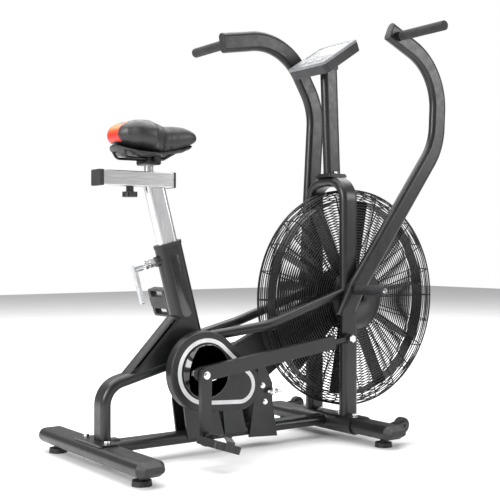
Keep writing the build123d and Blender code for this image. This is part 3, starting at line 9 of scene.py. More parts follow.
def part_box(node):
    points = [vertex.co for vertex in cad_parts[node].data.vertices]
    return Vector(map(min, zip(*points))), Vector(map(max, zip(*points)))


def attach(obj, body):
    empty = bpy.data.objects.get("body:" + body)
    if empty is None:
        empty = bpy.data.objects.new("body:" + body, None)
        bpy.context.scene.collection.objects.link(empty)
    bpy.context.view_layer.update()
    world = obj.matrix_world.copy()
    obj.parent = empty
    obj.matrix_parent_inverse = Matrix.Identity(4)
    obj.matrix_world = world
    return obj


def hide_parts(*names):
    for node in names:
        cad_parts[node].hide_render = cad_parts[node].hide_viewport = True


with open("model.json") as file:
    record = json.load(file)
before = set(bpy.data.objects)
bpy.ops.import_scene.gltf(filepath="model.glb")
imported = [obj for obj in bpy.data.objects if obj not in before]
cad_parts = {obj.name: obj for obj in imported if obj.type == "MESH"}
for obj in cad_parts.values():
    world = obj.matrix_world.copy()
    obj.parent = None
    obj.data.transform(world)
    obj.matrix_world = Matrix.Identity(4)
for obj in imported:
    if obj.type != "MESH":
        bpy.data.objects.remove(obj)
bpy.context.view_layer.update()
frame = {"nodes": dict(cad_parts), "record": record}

# Looks of the air bike, built round its fixed frame. Metres throughout; +X forward,
# +Y to the rider's left, +Z up.

JOINTS = {j["name"]: j for j in frame["record"]["behaviour"]["joints"]}


def joint_place(name):
    """Point on a joint's axis."""
    return Vector(JOINTS[name]["pos_m"])


RAKE = math.radians(15)    # lean of the seat tube and its post from upright


# ---- materials ------------------------------------------------------------------
def start_material(name):
    """Empty material with its shader, ready for nodes."""
    material = bpy.data.materials.new(name)
    material.use_nodes = True
    tree = material.node_tree
    return material, tree, tree.nodes["Principled BSDF"]


def place_vector(tree, scale=(1, 1, 1), turn=(0, 0, 0)):
    """Object coordinates through a mapping."""
    coords = tree.nodes.new("ShaderNodeTexCoord")
    mapping = tree.nodes.new("ShaderNodeMapping")
    mapping.inputs["Scale"].default_value = scale
    mapping.inputs["Rotation"].default_value = turn
    tree.links.new(coords.outputs["Object"], mapping.inputs["Vector"])
    return mapping.outputs["Vector"]


def speckle(tree, vector, scale, detail=3.0, roughness=0.5):
    """Noise of a given scale, as a factor."""
    noise = tree.nodes.new("ShaderNodeTexNoise")
    noise.inputs["Scale"].default_value = scale
    noise.inputs["Detail"].default_value = detail
    noise.inputs["Roughness"].default_value = roughness
    tree.links.new(vector, noise.inputs["Vector"])
    return noise.outputs["Fac"]


def spread(tree, factor, low, high):
    """Maps a factor to the range low to high."""
    spreader = tree.nodes.new("ShaderNodeMapRange")
    spreader.inputs["From Min"].default_value = 0.3
    spreader.inputs["From Max"].default_value = 0.7
    spreader.inputs["To Min"].default_value = low
    spreader.inputs["To Max"].default_value = high
    tree.links.new(factor, spreader.inputs["Value"])
    return spreader.outputs["Result"]


def tint(tree, factor, dark, light):
    """Colour between a dark and a light tone by a factor."""
    ramp = tree.nodes.new("ShaderNodeValToRGB")
    ramp.color_ramp.elements[0].color = (*dark, 1)
    ramp.color_ramp.elements[1].color = (*light, 1)
    ramp.color_ramp.elements[0].position = 0.35
    ramp.color_ramp.elements[1].position = 0.65
    tree.links.new(factor, ramp.inputs["Fac"])
    return ramp.outputs["Color"]


def relief(tree, shader, height, strength, distance):
    """Bump from a height factor."""
    bump = tree.nodes.new("ShaderNodeBump")
    bump.inputs["Strength"].default_value = strength
    bump.inputs["Distance"].default_value = distance
    tree.links.new(height, bump.inputs["Height"])
    tree.links.new(bump.outputs["Normal"], shader.inputs["Normal"])


def powder_coat(name, dark, light, rough=0.36, coat=0.25):
    """Satin powder coat with a fine orange peel."""
    material, tree, shader = start_material(name)
    vector = place_vector(tree)
    tree.links.new(tint(tree, speckle(tree, vector, 9), dark, light), shader.inputs["Base Color"])
    tree.links.new(spread(tree, speckle(tree, vector, 45), rough - 0.05, rough + 0.06),
                   shader.inputs["Roughness"])
    shader.inputs["Coat Weight"].default_value = coat
    shader.inputs["Coat Roughness"].default_value = 0.28
    relief(tree, shader, speckle(tree, vector, 520, 2), 0.16, 0.0006)
    return material


def moulded_plastic(name, dark, light, rough=0.5, grain=900):
    """Injection-moulded plastic with a fine spark-eroded texture."""
    material, tree, shader = start_material(name)
    vector = place_vector(tree)
    tree.links.new(tint(tree, speckle(tree, vector, 14), dark, light), shader.inputs["Base Color"])
    tree.links.new(spread(tree, speckle(tree, vector, 70), rough - 0.06, rough + 0.08),
                   shader.inputs["Roughness"])
    relief(tree, shader, speckle(tree, vector, grain, 2), 0.22, 0.0004)
    return material


def bright_metal(name, dark, light, rough, streak=(1, 1, 1), turn=(0, 0, 0), grain=60):
    """Chrome, steel or alloy; streak stretches the brushing along an axis."""
    material, tree, shader = start_material(name)
    shader.inputs["Metallic"].default_value = 1.0
    vector = place_vector(tree, streak, turn)
    lines = speckle(tree, vector, grain, 4)
    tree.links.new(tint(tree, lines, dark, light), shader.inputs["Base Color"])
    tree.links.new(spread(tree, lines, rough - 0.03, rough + 0.06), shader.inputs["Roughness"])
    relief(tree, shader, lines, 0.03, 0.0001)
    return material


def rubber(name, dark, light, rough=0.72, ribs=0.0):
    """Matte rubber or foam, with ribs spaced along Y when ribs is set."""
    material, tree, shader = start_material(name)
    vector = place_vector(tree)
    grain = speckle(tree, vector, 700, 3)
    tree.links.new(tint(tree, speckle(tree, vector, 30), dark, light), shader.inputs["Base Color"])
    tree.links.new(spread(tree, grain, rough - 0.08, rough + 0.08), shader.inputs["Roughness"])
    height = grain
    if ribs:
        wave = tree.nodes.new("ShaderNodeTexWave")
        wave.bands_direction = "Y"
        wave.inputs["Scale"].default_value = ribs
        wave.inputs["Distortion"].default_value = 0.3
        tree.links.new(vector, wave.inputs["Vector"])
        height = wave.outputs["Fac"]
    relief(tree, shader, height, 0.35, 0.0008)
    return material


def webbing(name, dark, light):
    """Woven strap."""
    material, tree, shader = start_material(name)
    vector = place_vector(tree)
    weave = tree.nodes.new("ShaderNodeTexWave")
    weave.bands_direction = "DIAGONAL"
    weave.inputs["Scale"].default_value = 380
    weave.inputs["Distortion"].default_value = 0.8
    tree.links.new(vector, weave.inputs["Vector"])
    tree.links.new(tint(tree, weave.outputs["Fac"], dark, light), shader.inputs["Base Color"])
    tree.links.new(spread(tree, speckle(tree, vector, 200), 0.75, 0.9), shader.inputs["Roughness"])
    shader.inputs["Sheen Weight"].default_value = 0.3
    relief(tree, shader, weave.outputs["Fac"], 0.5, 0.0006)
    return material


def glossy_panel(name, dark, light, rough=0.12, coat=0.6):
    """Painted or printed gloss surface with a faint waviness."""
    material, tree, shader = start_material(name)
    vector = place_vector(tree)
    tree.links.new(tint(tree, speckle(tree, vector, 22), dark, light), shader.inputs["Base Color"])
    tree.links.new(spread(tree, speckle(tree, vector, 120), rough, rough + 0.08),
                   shader.inputs["Roughness"])
    shader.inputs["Coat Weight"].default_value = coat
    relief(tree, shader, speckle(tree, vector, 60, 2), 0.04, 0.0004)
    return material


PANEL_BLUR = 0.0006        # half the width of the saddle panel's painted edge
BEYOND = 1.0               # past the end of the saddle, where its panel has no edge


def inside(tree, value, low, high):
    """1 where a value lies between low and high, with soft ends."""
    rise = tree.nodes.new("ShaderNodeMapRange")
    rise.inputs["From Min"].default_value = low - PANEL_BLUR
    rise.inputs["From Max"].default_value = low + PANEL_BLUR
    tree.links.new(value, rise.inputs["Value"])
    fall = tree.nodes.new("ShaderNodeMapRange")
    fall.inputs["From Min"].default_value = high - PANEL_BLUR
    fall.inputs["From Max"].default_value = high + PANEL_BLUR
    fall.inputs["To Min"].default_value = 1.0
    fall.inputs["To Max"].default_value = 0.0
    tree.links.new(value, fall.inputs["Value"])
    both = tree.nodes.new("ShaderNodeMath")
    both.operation = "MULTIPLY"
    tree.links.new(rise.outputs["Result"], both.inputs[0])
    tree.links.new(fall.outputs["Result"], both.inputs[1])
    return both.outputs["Value"]


def saddle_vinyl(name, panel_side, panel_front, panel_low, panel_top):
    """Black grained vinyl with an orange panel at the back, from panel_side leftwards, turning darker red
    towards the panel's bottom.
    """
    material, tree, shader = start_material(name)
    vector = place_vector(tree)
    cells = tree.nodes.new("ShaderNodeTexVoronoi")
    cells.inputs["Scale"].default_value = 330
    tree.links.new(vector, cells.inputs["Vector"])
    black = tint(tree, speckle(tree, vector, 25), (0.014, 0.014, 0.015), (0.024, 0.024, 0.026))
    parts = tree.nodes.new("ShaderNodeSeparateXYZ")
    tree.links.new(vector, parts.inputs["Vector"])
    fade = tree.nodes.new("ShaderNodeMapRange")
    fade.inputs["From Min"].default_value = panel_low
    fade.inputs["From Max"].default_value = panel_top
    tree.links.new(parts.outputs["Z"], fade.inputs["Value"])
    warm = tint(tree, fade.outputs["Result"], (0.55, 0.022, 0.012), (0.83, 0.16, 0.03))
    across = tree.nodes.new("ShaderNodeMath")
    across.operation = "MULTIPLY"
    tree.links.new(inside(tree, parts.outputs["Y"], panel_side, BEYOND), across.inputs[0])
    tree.links.new(inside(tree, parts.outputs["X"], -BEYOND, panel_front), across.inputs[1])
    zone = tree.nodes.new("ShaderNodeMath")
    zone.operation = "MULTIPLY"
    tree.links.new(across.outputs["Value"], zone.inputs[0])
    tree.links.new(inside(tree, parts.outputs["Z"], panel_low, panel_top), zone.inputs[1])
    mix = tree.nodes.new("ShaderNodeMix")
    mix.data_type = "RGBA"
    tree.links.new(zone.outputs["Value"], mix.inputs["Factor"])
    tree.links.new(black, mix.inputs["A"])
    tree.links.new(warm, mix.inputs["B"])
    tree.links.new(mix.outputs["Result"], shader.inputs["Base Color"])
    tree.links.new(spread(tree, speckle(tree, vector, 60), 0.34, 0.46), shader.inputs["Roughness"])
    relief(tree, shader, cells.outputs["Distance"], 0.25, 0.0006)
    return material


FINISH = {
    "frame": powder_coat("frame_powder_coat", (0.006, 0.0062, 0.0066), (0.010, 0.0103, 0.011), 0.34, 0.1),
    "fan": powder_coat("fan_powder_coat", (0.006, 0.006, 0.007), (0.011, 0.011, 0.012), 0.44, 0.0),
    "wire": powder_coat("cage_wire_coat", (0.004, 0.004, 0.0045), (0.008, 0.008, 0.009), 0.42, 0.0),
    "plastic": moulded_plastic("black_moulding", (0.012, 0.012, 0.013), (0.02, 0.02, 0.021)),
    "cover": moulded_plastic("drive_cover_moulding", (0.008, 0.008, 0.009), (0.014, 0.014, 0.015), 0.42, 600),
    "console": moulded_plastic("console_moulding", (0.16, 0.165, 0.175), (0.22, 0.225, 0.235), 0.45),
    "console_back": moulded_plastic("console_back_moulding", (0.014, 0.014, 0.016), (0.024, 0.024, 0.026)),
    "chrome": bright_metal("chrome_plate", (0.68, 0.68, 0.7), (0.86, 0.86, 0.88), 0.1),
    "steel": bright_metal("turned_steel", (0.42, 0.42, 0.44), (0.6, 0.6, 0.62), 0.3, (1, 14, 1)),
    "post_alloy": bright_metal("seat_post_alloy", (0.58, 0.58, 0.59), (0.64, 0.64, 0.65), 0.3,
                               (6, 6, 0.3), (0, RAKE, 0)),
    "rail_alloy": bright_metal("rail_alloy", (0.6, 0.6, 0.61), (0.66, 0.66, 0.67), 0.3, (0.3, 6, 6)),
    "black_steel": bright_metal("blackened_steel", (0.03, 0.03, 0.032), (0.06, 0.06, 0.063), 0.32),
    "handle": bright_metal("handle_casting", (0.4, 0.41, 0.42), (0.55, 0.56, 0.57), 0.34),
    "grip": rubber("grip_foam", (0.012, 0.012, 0.013), (0.024, 0.024, 0.026), 0.7, 190),
    "peg": rubber("peg_sleeve_rubber", (0.012, 0.012, 0.013), (0.02, 0.02, 0.022), 0.6, 120),
    "wheel": rubber("wheel_rubber", (0.014, 0.014, 0.015), (0.028, 0.028, 0.03)),
    "foot": rubber("foot_rubber", (0.01, 0.01, 0.011), (0.02, 0.02, 0.021), 0.62),
    "belt": rubber("belt_rubber", (0.012, 0.012, 0.013), (0.02, 0.02, 0.02), 0.65, 240),
    "strap": webbing("strap_webbing", (0.008, 0.008, 0.009), (0.03, 0.03, 0.032)),
    "band": glossy_panel("pale_band_paint", (0.62, 0.62, 0.63), (0.78, 0.78, 0.79), 0.3, 0.3),
    "inlay": glossy_panel("inlay_gloss", (0.006, 0.006, 0.007), (0.011, 0.011, 0.012), 0.12, 0.8),
    "screen": glossy_panel("display_glass", (0.34, 0.36, 0.36), (0.42, 0.44, 0.44), 0.08, 1.0),
    "keys": moulded_plastic("key_rubber", (0.3, 0.3, 0.31), (0.4, 0.4, 0.41), 0.6),
}

NODE_FINISH = {
    "frame": ("main_frame", "front_fork", "side_tubes", "rear_stabiliser", "front_stabiliser",
              "lever_right", "lever_left", "console_post", "crank_arms", "tensioner_plates",
              "push_rod_right", "push_rod_left"),
    "fan": ("fan_wheel",),
    "plastic": ("stabiliser_caps", "post_collar", "rail_caps", "slider_knob", "saddle_shell",
                "pedal_right", "pedal_left", "belt_cover", "belt_cover_back"),
    "cover": ("drive_cover", "drive_cover_back"),
    "console": ("console_face",),
    "console_back": ("console_base",),
    "chrome": ("frame_bolts", "clamp_stud", "saddle_slider", "crank_nuts", "crank_spindle",
               "lever_pivots", "draw_bolt"),
    "steel": ("bearings", "pedal_spindles", "jackshaft", "crank_pulley", "idler_roller"),
    "black_steel": ("saddle_rails", "saddle_clamp", "fan_axle"),
    "post_alloy": ("seat_post",),
    "rail_alloy": ("saddle_rail",),
    "handle": ("clamp_handle",),
    "grip": ("grip_right", "grip_left"),
    "peg": ("foot_pegs",),
    "wheel": ("transport_wheel_right", "transport_wheel_left"),
    "foot": ("levelling_feet",),
    "belt": ("first_belt", "second_belt"),
    "strap": ("pedal_strap_right", "pedal_strap_left"),
    "band": ("cover_band",),
    "screen": ("console_screen",),
    "keys": ("console_keys",),
}
for finish, names in NODE_FINISH.items():
    for name in names:
        mesh = frame["nodes"][name].data
        mesh.materials.clear()
        mesh.materials.append(FINISH[finish])


# ---- making pieces -----------------------------------------------------------------
def make_piece(name, shape, finish, body, stands_for=()):
    """Turn a bmesh into a piece that rides on a body."""
    bmesh.ops.remove_doubles(shape, verts=shape.verts, dist=1e-6)
    bmesh.ops.recalc_face_normals(shape, faces=shape.faces)
    mesh = bpy.data.meshes.new(name)
    shape.to_mesh(mesh)
    shape.free()
    mesh.materials.append(FINISH[finish] if isinstance(finish, str) else finish)
    piece = bpy.data.objects.new(name, mesh)
    bpy.context.scene.collection.objects.link(piece)
    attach(piece, body)
    if stands_for:
        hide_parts(*stands_for)
    return piece


def shade_smooth(piece, angle=35):
    """Smooth faces, kept sharp past an angle."""
    with bpy.context.temp_override(object=piece, selected_objects=[piece], active_object=piece,
                                   selected_editable_objects=[piece]):
        bpy.ops.object.shade_smooth_by_angle(angle=math.radians(angle), keep_sharp_edges=True)


def ring(shape, centre, radius, depth, wire, steps=96, sides=6):
    """Wire ring round the Y axis through centre, depth along Y."""
    start = centre + Vector((radius, depth, 0))
    turn = Matrix.Translation(start)
    made = bmesh.ops.create_circle(shape, segments=sides, radius=wire, matrix=turn)
    verts = made["verts"]
    edges = list({e for v in verts for e in v.link_edges})
    bmesh.ops.spin(shape, geom=verts + edges, cent=centre, axis=(0, 1, 0), angle=2 * math.pi,
                   steps=steps, use_merge=True)


# ---- fan cage: fine wire rings, radial wires and a hub plate ---------------------------
FAN = joint_place("fan_spin")
CAGE_LOW, CAGE_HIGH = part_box("fan_cage_right")
CAGE_R = (CAGE_HIGH.x - CAGE_LOW.x) / 2
CAGE_HALF = FAN.y - CAGE_LOW.y
HUB_PLATE_R = 0.098
HUB_HOLE = {-1: 0.008, 1: 0.024}   # radius of the hole for the axle, on the right and on the left
HUB_T, HUB_DISH = 0.004, 0.0022    # thickness of the hub plate, and depth of its pressed dish
FINE_WIRE, SPOKE_WIRE = 0.0016, 0.0018
SHOULDER = 0.022                   # radius of the cage's rounded edge
SHOULDER_GAPS = 4                  # spaces between the rings on the rounded edge
RING_PITCH = 0.0083
SPOKES = 24
SPOKE_INSET = 2.2 * SPOKE_WIRE     # radial wires lie this far inside the rings
SPOKE_TUCK = 0.006                 # length of a radial wire behind the hub plate
MIDDLE_GAP = 0.001                 # radial wires stop this short of the middle plane


def cage_half(name, node, side):
    """Half of the cage on one side of the fan's middle plane."""
    shape = bmesh.new()
    outer = CAGE_R - FINE_WIRE
    face = side * (CAGE_HALF - FINE_WIRE)
    flat_end = outer - SHOULDER
    radius = HUB_PLATE_R + RING_PITCH / 2
    while radius < flat_end:
        ring(shape, FAN, radius, face, FINE_WIRE)
        radius += RING_PITCH
    for i in range(SHOULDER_GAPS + 1):
        angle = math.pi / 2 * i / SHOULDER_GAPS
        ring(shape, FAN, flat_end + SHOULDER * math.sin(angle),
             face - side * SHOULDER * (1 - math.cos(angle)), FINE_WIRE)
    depth = abs(face) - SHOULDER - RING_PITCH
    while depth > 2 * MIDDLE_GAP:
        ring(shape, FAN, outer, side * depth, FINE_WIRE)
        depth -= RING_PITCH
    # one radial wire, bent round the shoulder and repeated round the cage
    spoke = bmesh.new()
    level = face - side * SPOKE_INSET
    bend = SHOULDER - SPOKE_INSET
    start = Matrix.Translation(FAN + Vector((HUB_PLATE_R - SPOKE_TUCK, level, 0)))
    quarter = Matrix.Rotation(math.pi / 2, 4, "Y")
    first = bmesh.ops.create_circle(spoke, segments=6, radius=SPOKE_WIRE, matrix=start @ quarter)
    loop = list({e for v in first["verts"] for e in v.link_edges})

    def pull(edges, offset):
        grown = bmesh.ops.extrude_edge_only(spoke, edges=edges)["geom"]
        verts = [v for v in grown if isinstance(v, bmesh.types.BMVert)]
        bmesh.ops.translate(spoke, verts=verts, vec=offset)
        return [e for e in grown if isinstance(e, bmesh.types.BMEdge) and all(v in verts for v in e.verts)]

    loop = pull(loop, Vector((flat_end - HUB_PLATE_R + SPOKE_TUCK, 0, 0)))
    turned = bmesh.ops.spin(spoke, geom=loop + list({v for e in loop for v in e.verts}),
                            cent=FAN + Vector((flat_end, level - side * bend, 0)), axis=(0, 0, 1),
                            angle=-side * math.pi / 2, steps=5)["geom_last"]
    loop = [e for e in turned if isinstance(e, bmesh.types.BMEdge)]
    pull(loop, Vector((0, -side * (abs(level) - bend - MIDDLE_GAP), 0)))
    bmesh.ops.spin(spoke, geom=spoke.verts[:] + spoke.edges[:] + spoke.faces[:], cent=FAN, axis=(0, 1, 0),
                   angle=2 * math.pi * (SPOKES - 1) / SPOKES, steps=SPOKES - 1, use_duplicate=True)
    mesh = bpy.data.meshes.new("spokes")
    spoke.to_mesh(mesh)
    spoke.free()
    shape.from_mesh(mesh)
    bpy.data.meshes.remove(mesh)
    # dished hub plate
    hole = HUB_HOLE[side]
    centre = FAN + Vector((0, face, 0))
    upright = Matrix.Translation(centre) @ Matrix.Rotation(math.pi / 2, 4, "X")
    rim = bmesh.ops.create_circle(shape, segments=64, radius=HUB_PLATE_R, matrix=upright)
    loop = list({e for v in rim["verts"] for e in v.link_edges})

    def step_in(edges, scale, shift):
        grown = bmesh.ops.extrude_edge_only(shape, edges=edges)["geom"]
        verts = [v for v in grown if isinstance(v, bmesh.types.BMVert)]
        bmesh.ops.scale(shape, verts=verts, vec=(scale, 1, scale), space=Matrix.Translation(-centre))
        bmesh.ops.translate(shape, verts=verts, vec=(0, shift, 0))
        return [e for e in grown if isinstance(e, bmesh.types.BMEdge) and all(v in verts for v in e.verts)]

    flat, slope, floor, boss = 0.96, 0.97, 0.55, 0.94
    to_hole = hole / (HUB_PLATE_R * flat * slope * floor * boss)
    for scale, shift in ((flat, 0), (slope, -HUB_DISH), (floor, 0), (boss, HUB_DISH), (to_hole, 0),
                         (1, -HUB_T), (HUB_PLATE_R / hole, 0), (1, HUB_T)):
        loop = step_in(loop, scale, side * shift)
    piece = make_piece(name, shape, "wire", "frame", (node,))
    shade_smooth(piece, 40)
    return piece


cage_half("fan_cage_wires_right", "fan_cage_right", -1)
cage_half("fan_cage_wires_left", "fan_cage_left", 1)


# ---- flat oval shapes -----------------------------------------------------------------
def flat_oval(shape, place, wide, thin, deep, edge):
    """Bevelled flat-oval plate on the local XY plane of place, rising along local Z."""
    made = bmesh.ops.create_circle(shape, cap_ends=True, segments=40, radius=thin / 2)
    verts = made["verts"]
    for vert in verts:
        vert.co.x += (wide - thin) / 2 * (1 if vert.co.x > 0 else -1)
    faces = list({f for v in verts for f in v.link_faces})
    grown = bmesh.ops.extrude_face_region(shape, geom=faces)["geom"]
    tops = [v for v in grown if isinstance(v, bmesh.types.BMVert)]
    bmesh.ops.translate(shape, verts=tops, vec=(0, 0, deep))
    rim = list({e for v in tops for e in v.link_edges if e.other_vert(v) in tops})
    bmesh.ops.bevel(shape, geom=rim, offset=edge, affect="EDGES", segments=3, profile=0.5, material=-1)
    bmesh.ops.transform(shape, verts=shape.verts, matrix=place)


def facing(at, wide_dir, normal):
    """Matrix whose X runs along wide_dir and Z along normal."""
    along = Vector(wide_dir).normalized()
    out = Vector(normal).normalized()
    up = out.cross(along)
    turn = Matrix((along, up, out)).transposed().to_4x4()
    return Matrix.Translation(at) @ turn


# gloss inlays on both sides of the seat tube, placed from the collar at the tube's top
TUBE_DOWN = Vector((math.sin(RAKE), 0, -math.cos(RAKE)))
COLLAR_LOW, COLLAR_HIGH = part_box("post_collar")
TUBE_TOP = Vector((COLLAR_LOW.x + 0.042403, 0, COLLAR_HIGH.z - 0.019431))
SEAT_TUBE_HALF = 0.020
INLAY_DOWN = 0.112                 # from the top of the tube to the middle of the inlay
INLAY_LONG, INLAY_WIDE = 0.176, 0.032
INLAY_T, INLAY_SUNK, INLAY_EDGE = 0.0012, 0.0002, 0.0006
for side, hand in ((-1, "right"), (1, "left")):
    shape = bmesh.new()
    at = TUBE_TOP + TUBE_DOWN * INLAY_DOWN + Vector((0, side * (SEAT_TUBE_HALF - INLAY_SUNK), 0))
    flat_oval(shape, facing(at, TUBE_DOWN, (0, side, 0)), INLAY_LONG, INLAY_WIDE, INLAY_T, INLAY_EDGE)
    shade_smooth(make_piece(f"seat_tube_inlay_{hand}", shape, "inlay", "frame"))

# plugs in the upper ends of the arm levers
LEVER_END = Vector((0.147, 0, 0.780))                     # from the pivot of an upright lever
LEVER_AIM = Vector((-0.2105, 0, 0.094)).normalized()      # way that the end faces
LEVER_BACK = {"right": 0, "left": -34}                    # degrees each lever is swung back at rest
PLUG_WIDE, PLUG_THIN = 0.0596, 0.0276
PLUG_OUT, PLUG_T, PLUG_EDGE = 0.002, 0.0035, 0.0022
for hand, lean in LEVER_BACK.items():
    shape = bmesh.new()
    turn = Matrix.Rotation(math.radians(lean), 4, "Y")
    pivot = joint_place(f"{hand}_lever_swing")
    aim = turn @ LEVER_AIM
    at = pivot + turn @ LEVER_END + aim * PLUG_OUT
    across = Vector((0, 1, 0)).cross(aim)
    flat_oval(shape, facing(at, across, aim), PLUG_WIDE, PLUG_THIN, PLUG_T, PLUG_EDGE)
    shade_smooth(make_piece(f"lever_end_plug_{hand}", shape, "plastic", f"{hand}_lever"))


# ---- saddle -----------------------------------------------------------------------------
SADDLE_LOW, SADDLE_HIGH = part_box("saddle_cushion")
SADDLE_STATIONS = (
    # share of the length from the rear, half width, then the top and the underside below the crest
    (0.00, 0.060, 0.022, 0.078), (0.07, 0.078, 0.006, 0.088), (0.20, 0.092, 0.000, 0.096),
    (0.34, 0.087, 0.003, 0.098), (0.46, 0.066, 0.013, 0.097), (0.58, 0.044, 0.020, 0.093),
    (0.70, 0.037, 0.016, 0.087), (0.84, 0.034, 0.011, 0.080), (0.94, 0.031, 0.015, 0.072),
    (1.00, 0.026, 0.024, 0.066))
VOXEL = 0.005
PUFF_STEPS, PUFF_CAP = 20, 0.005


def saddle_size(share):
    """Half width, and the heights of the top and underside, at a share of the saddle's length."""
    half, top, under = station(share)
    return half, SADDLE_HIGH.z - top, SADDLE_HIGH.z - under


def station(share):
    """The saddle's stations, blended at a share of its length."""
    for low, high in zip(SADDLE_STATIONS, SADDLE_STATIONS[1:]):
        if share <= high[0]:
            part = (share - low[0]) / (high[0] - low[0])
            part = part * part * (3 - 2 * part) if low[0] > 0 else part
            return [a + (b - a) * part for a, b in zip(low[1:], high[1:])]
    return list(SADDLE_STATIONS[-1][1:])


def saddle_ball(round_ends, u_segments, v_segments):
    """Ball lying along X, with each vertex's share of the length, fullness, side and height."""
    shape = bmesh.new()
    bmesh.ops.create_uvsphere(shape, u_segments=u_segments, v_segments=v_segments, radius=1,
                              matrix=Matrix.Rotation(math.pi / 2, 4, "Y"))
    spots = []
    for vert in shape.verts:
        along = max(-1.0, min(1.0, vert.co.x))
        girth = max(1e-6, 1 - along * along) ** 0.5
        full = min(1.0, girth ** round_ends)
        spots.append((vert, (along + 1) / 2, full, vert.co.y / girth, vert.co.z / girth))
    return shape, spots


def saddle_form():
    """Ball drawn out along the saddle's stations."""
    low, high = SADDLE_LOW, SADDLE_HIGH
    inset = 0.004
    shape, spots = saddle_ball(0.42, 72, 64)
    for vert, share, full, side, up in spots:
        half, top, under = saddle_size(share)
        # two lobes at the back with a shallow channel between them
        lobe = max(0.0, 1 - abs(share - 0.2) / 0.3)
        channel = 0.007 * lobe * math.exp(-(side / 0.28) ** 2)
        middle = under + 0.52 * (top - under)
        square_y = math.copysign(abs(side) ** 0.86, side)
        square_z = math.copysign(abs(up) ** (0.9 if up > 0 else 0.7), up)
        reach = (top - middle - channel) if up > 0 else (middle - under)
        vert.co = Vector((low.x + inset + (high.x - low.x - 2 * inset) * share,
                          (half - inset) * full * square_y,
                          middle + (reach - inset) * full * square_z))
    return shape


def puff_up(piece):
    """Short cloth run from within, with each point's move capped."""
    before = [v.co.copy() for v in piece.data.vertices]
    cloth = piece.modifiers.new("puff", "CLOTH")
    cloth.settings.use_pressure = True
    cloth.settings.uniform_pressure_force = 4
    cloth.settings.effector_weights.gravity = 0
    cloth.point_cache.frame_start = 1
    cloth.point_cache.frame_end = PUFF_STEPS
    for step in range(1, PUFF_STEPS + 1):
        bpy.context.scene.frame_set(step)
    with bpy.context.temp_override(object=piece, active_object=piece):
        bpy.ops.object.modifier_apply(modifier="puff")
    bpy.context.scene.frame_set(1)
    for vert, old in zip(piece.data.vertices, before):
        moved = vert.co - old
        if moved.length > PUFF_CAP:
            vert.co = old + moved.normalized() * PUFF_CAP


def cushion_piece():
    """Padded saddle top: the drawn-out form, its mesh made even, then the cloth run."""
    low, high = SADDLE_LOW, SADDLE_HIGH
    shape = saddle_form()
    mesh = bpy.data.meshes.new("saddle_top")
    shape.to_mesh(mesh)
    shape.free()
    mesh.materials.append(saddle_vinyl("saddle_vinyl", -0.030, low.x + 0.038, high.z - 0.069, high.z - 0.011))
    piece = bpy.data.objects.new("saddle_top", mesh)
    bpy.context.scene.collection.objects.link(piece)
    bpy.context.view_layer.objects.active = piece
    remesh = piece.modifiers.new("even", "REMESH")
    remesh.mode = "VOXEL"
    remesh.voxel_size = VOXEL
    soften = piece.modifiers.new("soften", "SMOOTH")
    soften.iterations = 14
    soften.factor = 0.5
    with bpy.context.temp_override(object=piece, active_object=piece):
        bpy.ops.object.modifier_apply(modifier="even")
        bpy.ops.object.modifier_apply(modifier="soften")
    puff_up(piece)
    # keep it within the width, length and top of the CAD cushion
    for vert in piece.data.vertices:
        vert.co.x = min(max(vert.co.x, low.x), high.x)
        vert.co.y = min(max(vert.co.y, low.y), high.y)
        vert.co.z = min(vert.co.z, high.z)
    for face in piece.data.polygons:
        face.use_smooth = True
    finer = piece.modifiers.new("finer", "SUBSURF")
    finer.levels = 1
    finer.render_levels = 1
    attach(piece, "saddle")
    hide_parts("saddle_cushion")
    return piece


cushion_piece()


def saddle_base():
    """Moulded base under the saddle top, following its underside."""
    low, high = SADDLE_LOW, SADDLE_HIGH
    rear_gap, front_gap, side_gap = 0.010, 0.020, 0.012
    drop, half_deep = 0.001, 0.008
    shape, spots = saddle_ball(0.5, 64, 32)
    for vert, share, full, side, up in spots:
        half, _, under = saddle_size(share)
        vert.co = Vector((low.x + rear_gap + (high.x - low.x - rear_gap - front_gap) * share,
                          (half - side_gap) * full * side, under - drop + half_deep * full * up))
    base = make_piece("saddle_base", shape, "plastic", "saddle", ("saddle_shell",))
    shade_smooth(base, 60)


saddle_base()


# ---- rod nuts and cover dish ------------------------------------------------------------
def turned(shape, centre, out, stack, segments):
    """Steps of (distance along Y, radius) drawn outward from one closed circle."""
    level, radius = stack[0]
    place = Matrix.Translation(centre + Vector((0, out * level, 0))) @ Matrix.Rotation(math.pi / 2, 4, "X")
    first = bmesh.ops.create_circle(shape, cap_ends=True, segments=segments, radius=radius, matrix=place)
    face = [f for v in first["verts"] for f in v.link_faces][0]
    for next_level, next_radius in stack[1:]:
        grown = bmesh.ops.extrude_face_region(shape, geom=[face])["geom"]
        face = next(g for g in grown if isinstance(g, bmesh.types.BMFace))
        ratio = next_radius / radius
        bmesh.ops.scale(shape, verts=face.verts, vec=(ratio, 1, ratio),
                        space=Matrix.Translation(-(centre + Vector((0, out * level, 0)))))
        bmesh.ops.translate(shape, verts=face.verts, vec=(0, out * (next_level - level), 0))
        level, radius = next_level, next_radius


# bright nuts on the push rods' front eyes
EYE_R = 0.015
NUT_R, NUT_TOP_R = 0.0124, 0.0105
NUT_T, NUT_CROWN = 0.0078, 0.0012
for side, hand in ((-1, "right"), (1, "left")):
    low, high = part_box(f"push_rod_{hand}")
    eye = Vector((high.x - EYE_R, 0, high.z - EYE_R))
    outer = max(-low.y, high.y)
    shape = bmesh.new()
    turned(shape, eye, side,
           ((outer - NUT_T, NUT_R), (outer, NUT_R), (outer + NUT_CROWN, NUT_TOP_R)), 6)
    make_piece(f"rod_nut_{hand}", shape, "chrome", f"{hand}_rod")
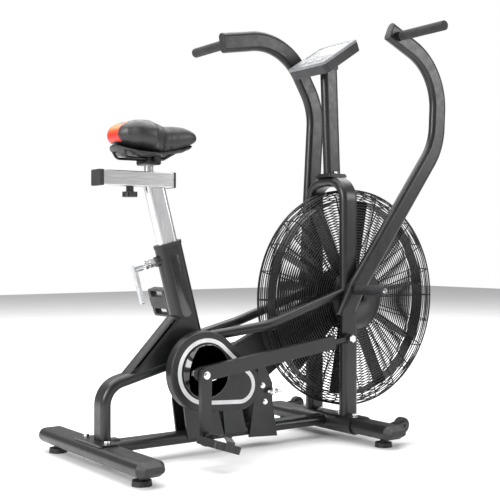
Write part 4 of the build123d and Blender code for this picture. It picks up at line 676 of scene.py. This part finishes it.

# dish in the drive cover, round the crank: a raised lip and a floor in the darker gloss black, which is
# painted shade for a recess deeper than the cover's own. Height above the cover's face, radius
DISH_STEPS = ((0, 0.0745), (0.0030, 0.0740), (0.0034, 0.0700), (0.0006, 0.0660), (0.0004, 0.0300))
COVER_FACE = -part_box("drive_cover")[0].y
shape = bmesh.new()
turned(shape, joint_place("crank_turn"), -1, [(COVER_FACE + rise, radius) for rise, radius in DISH_STEPS], 96)
shade_smooth(make_piece("cover_dish", shape, "inlay", "frame"))


# ---- floor, light and camera ----------------------------------------------------------------
LAMP_TARGET = Vector((0, 0, 0.6))
LAMPS = (
    # name, place, size, power
    ("left_light", (-3.2, -0.6, 1.9), 1.6, 95),
    ("right_light", (2.6, -2.6, 1.8), 1.2, 34),
    ("top_light", (0.4, 1.0, 4.6), 7.0, 520))
SURROUND_LIT, SURROUND_SEEN = 0.42, 1.0    # white surroundings, as they light and as they are seen
LENS_MM, SENSOR_MM = 70.67, 36
CAMERA_PLACE = (-1.7324, -2.2932, 0.5687)
CAMERA_AIM = Vector((0.5829, 0.8125, -0.00244))
FLOOR_HALF = 9


def studio():
    """Pale flat floor, white surroundings, soft lights and the camera."""
    paper, tree, shader = start_material("studio_paper")
    vector = place_vector(tree)
    tree.links.new(tint(tree, speckle(tree, vector, 3), (0.90, 0.90, 0.90), (0.93, 0.93, 0.93)),
                   shader.inputs["Base Color"])
    shader.inputs["Roughness"].default_value = 0.9
    floor_shape = bmesh.new()
    bmesh.ops.create_grid(floor_shape, x_segments=2, y_segments=2, size=FLOOR_HALF)
    mesh = bpy.data.meshes.new("studio_floor")
    floor_shape.to_mesh(mesh)
    floor_shape.free()
    mesh.materials.append(paper)
    floor = bpy.data.objects.new("studio_floor", mesh)
    bpy.context.scene.collection.objects.link(floor)

    world = bpy.data.worlds.new("studio")
    bpy.context.scene.world = world
    world.use_nodes = True
    tree = world.node_tree
    back = tree.nodes["Background"]
    back.inputs["Color"].default_value = (1, 1, 1, 1)
    seen = tree.nodes.new("ShaderNodeLightPath")
    level = tree.nodes.new("ShaderNodeMapRange")
    level.inputs["To Min"].default_value = SURROUND_LIT
    level.inputs["To Max"].default_value = SURROUND_SEEN
    tree.links.new(seen.outputs["Is Camera Ray"], level.inputs["Value"])
    tree.links.new(level.outputs["Result"], back.inputs["Strength"])
    for name, place, size, power in LAMPS:
        data = bpy.data.lights.new(name, "AREA")
        data.size = size
        data.energy = power
        lamp = bpy.data.objects.new(name, data)
        lamp.location = place
        lamp.rotation_euler = (LAMP_TARGET - Vector(place)).to_track_quat("-Z", "Y").to_euler()
        bpy.context.scene.collection.objects.link(lamp)

    data = bpy.data.cameras.new("camera")
    data.sensor_width = SENSOR_MM
    data.lens = LENS_MM
    camera = bpy.data.objects.new("camera", data)
    camera.location = CAMERA_PLACE
    camera.rotation_euler = CAMERA_AIM.to_track_quat("-Z", "Y").to_euler()
    bpy.context.scene.collection.objects.link(camera)
    bpy.context.scene.camera = camera
    bpy.context.scene.view_settings.view_transform = "Standard"


studio()
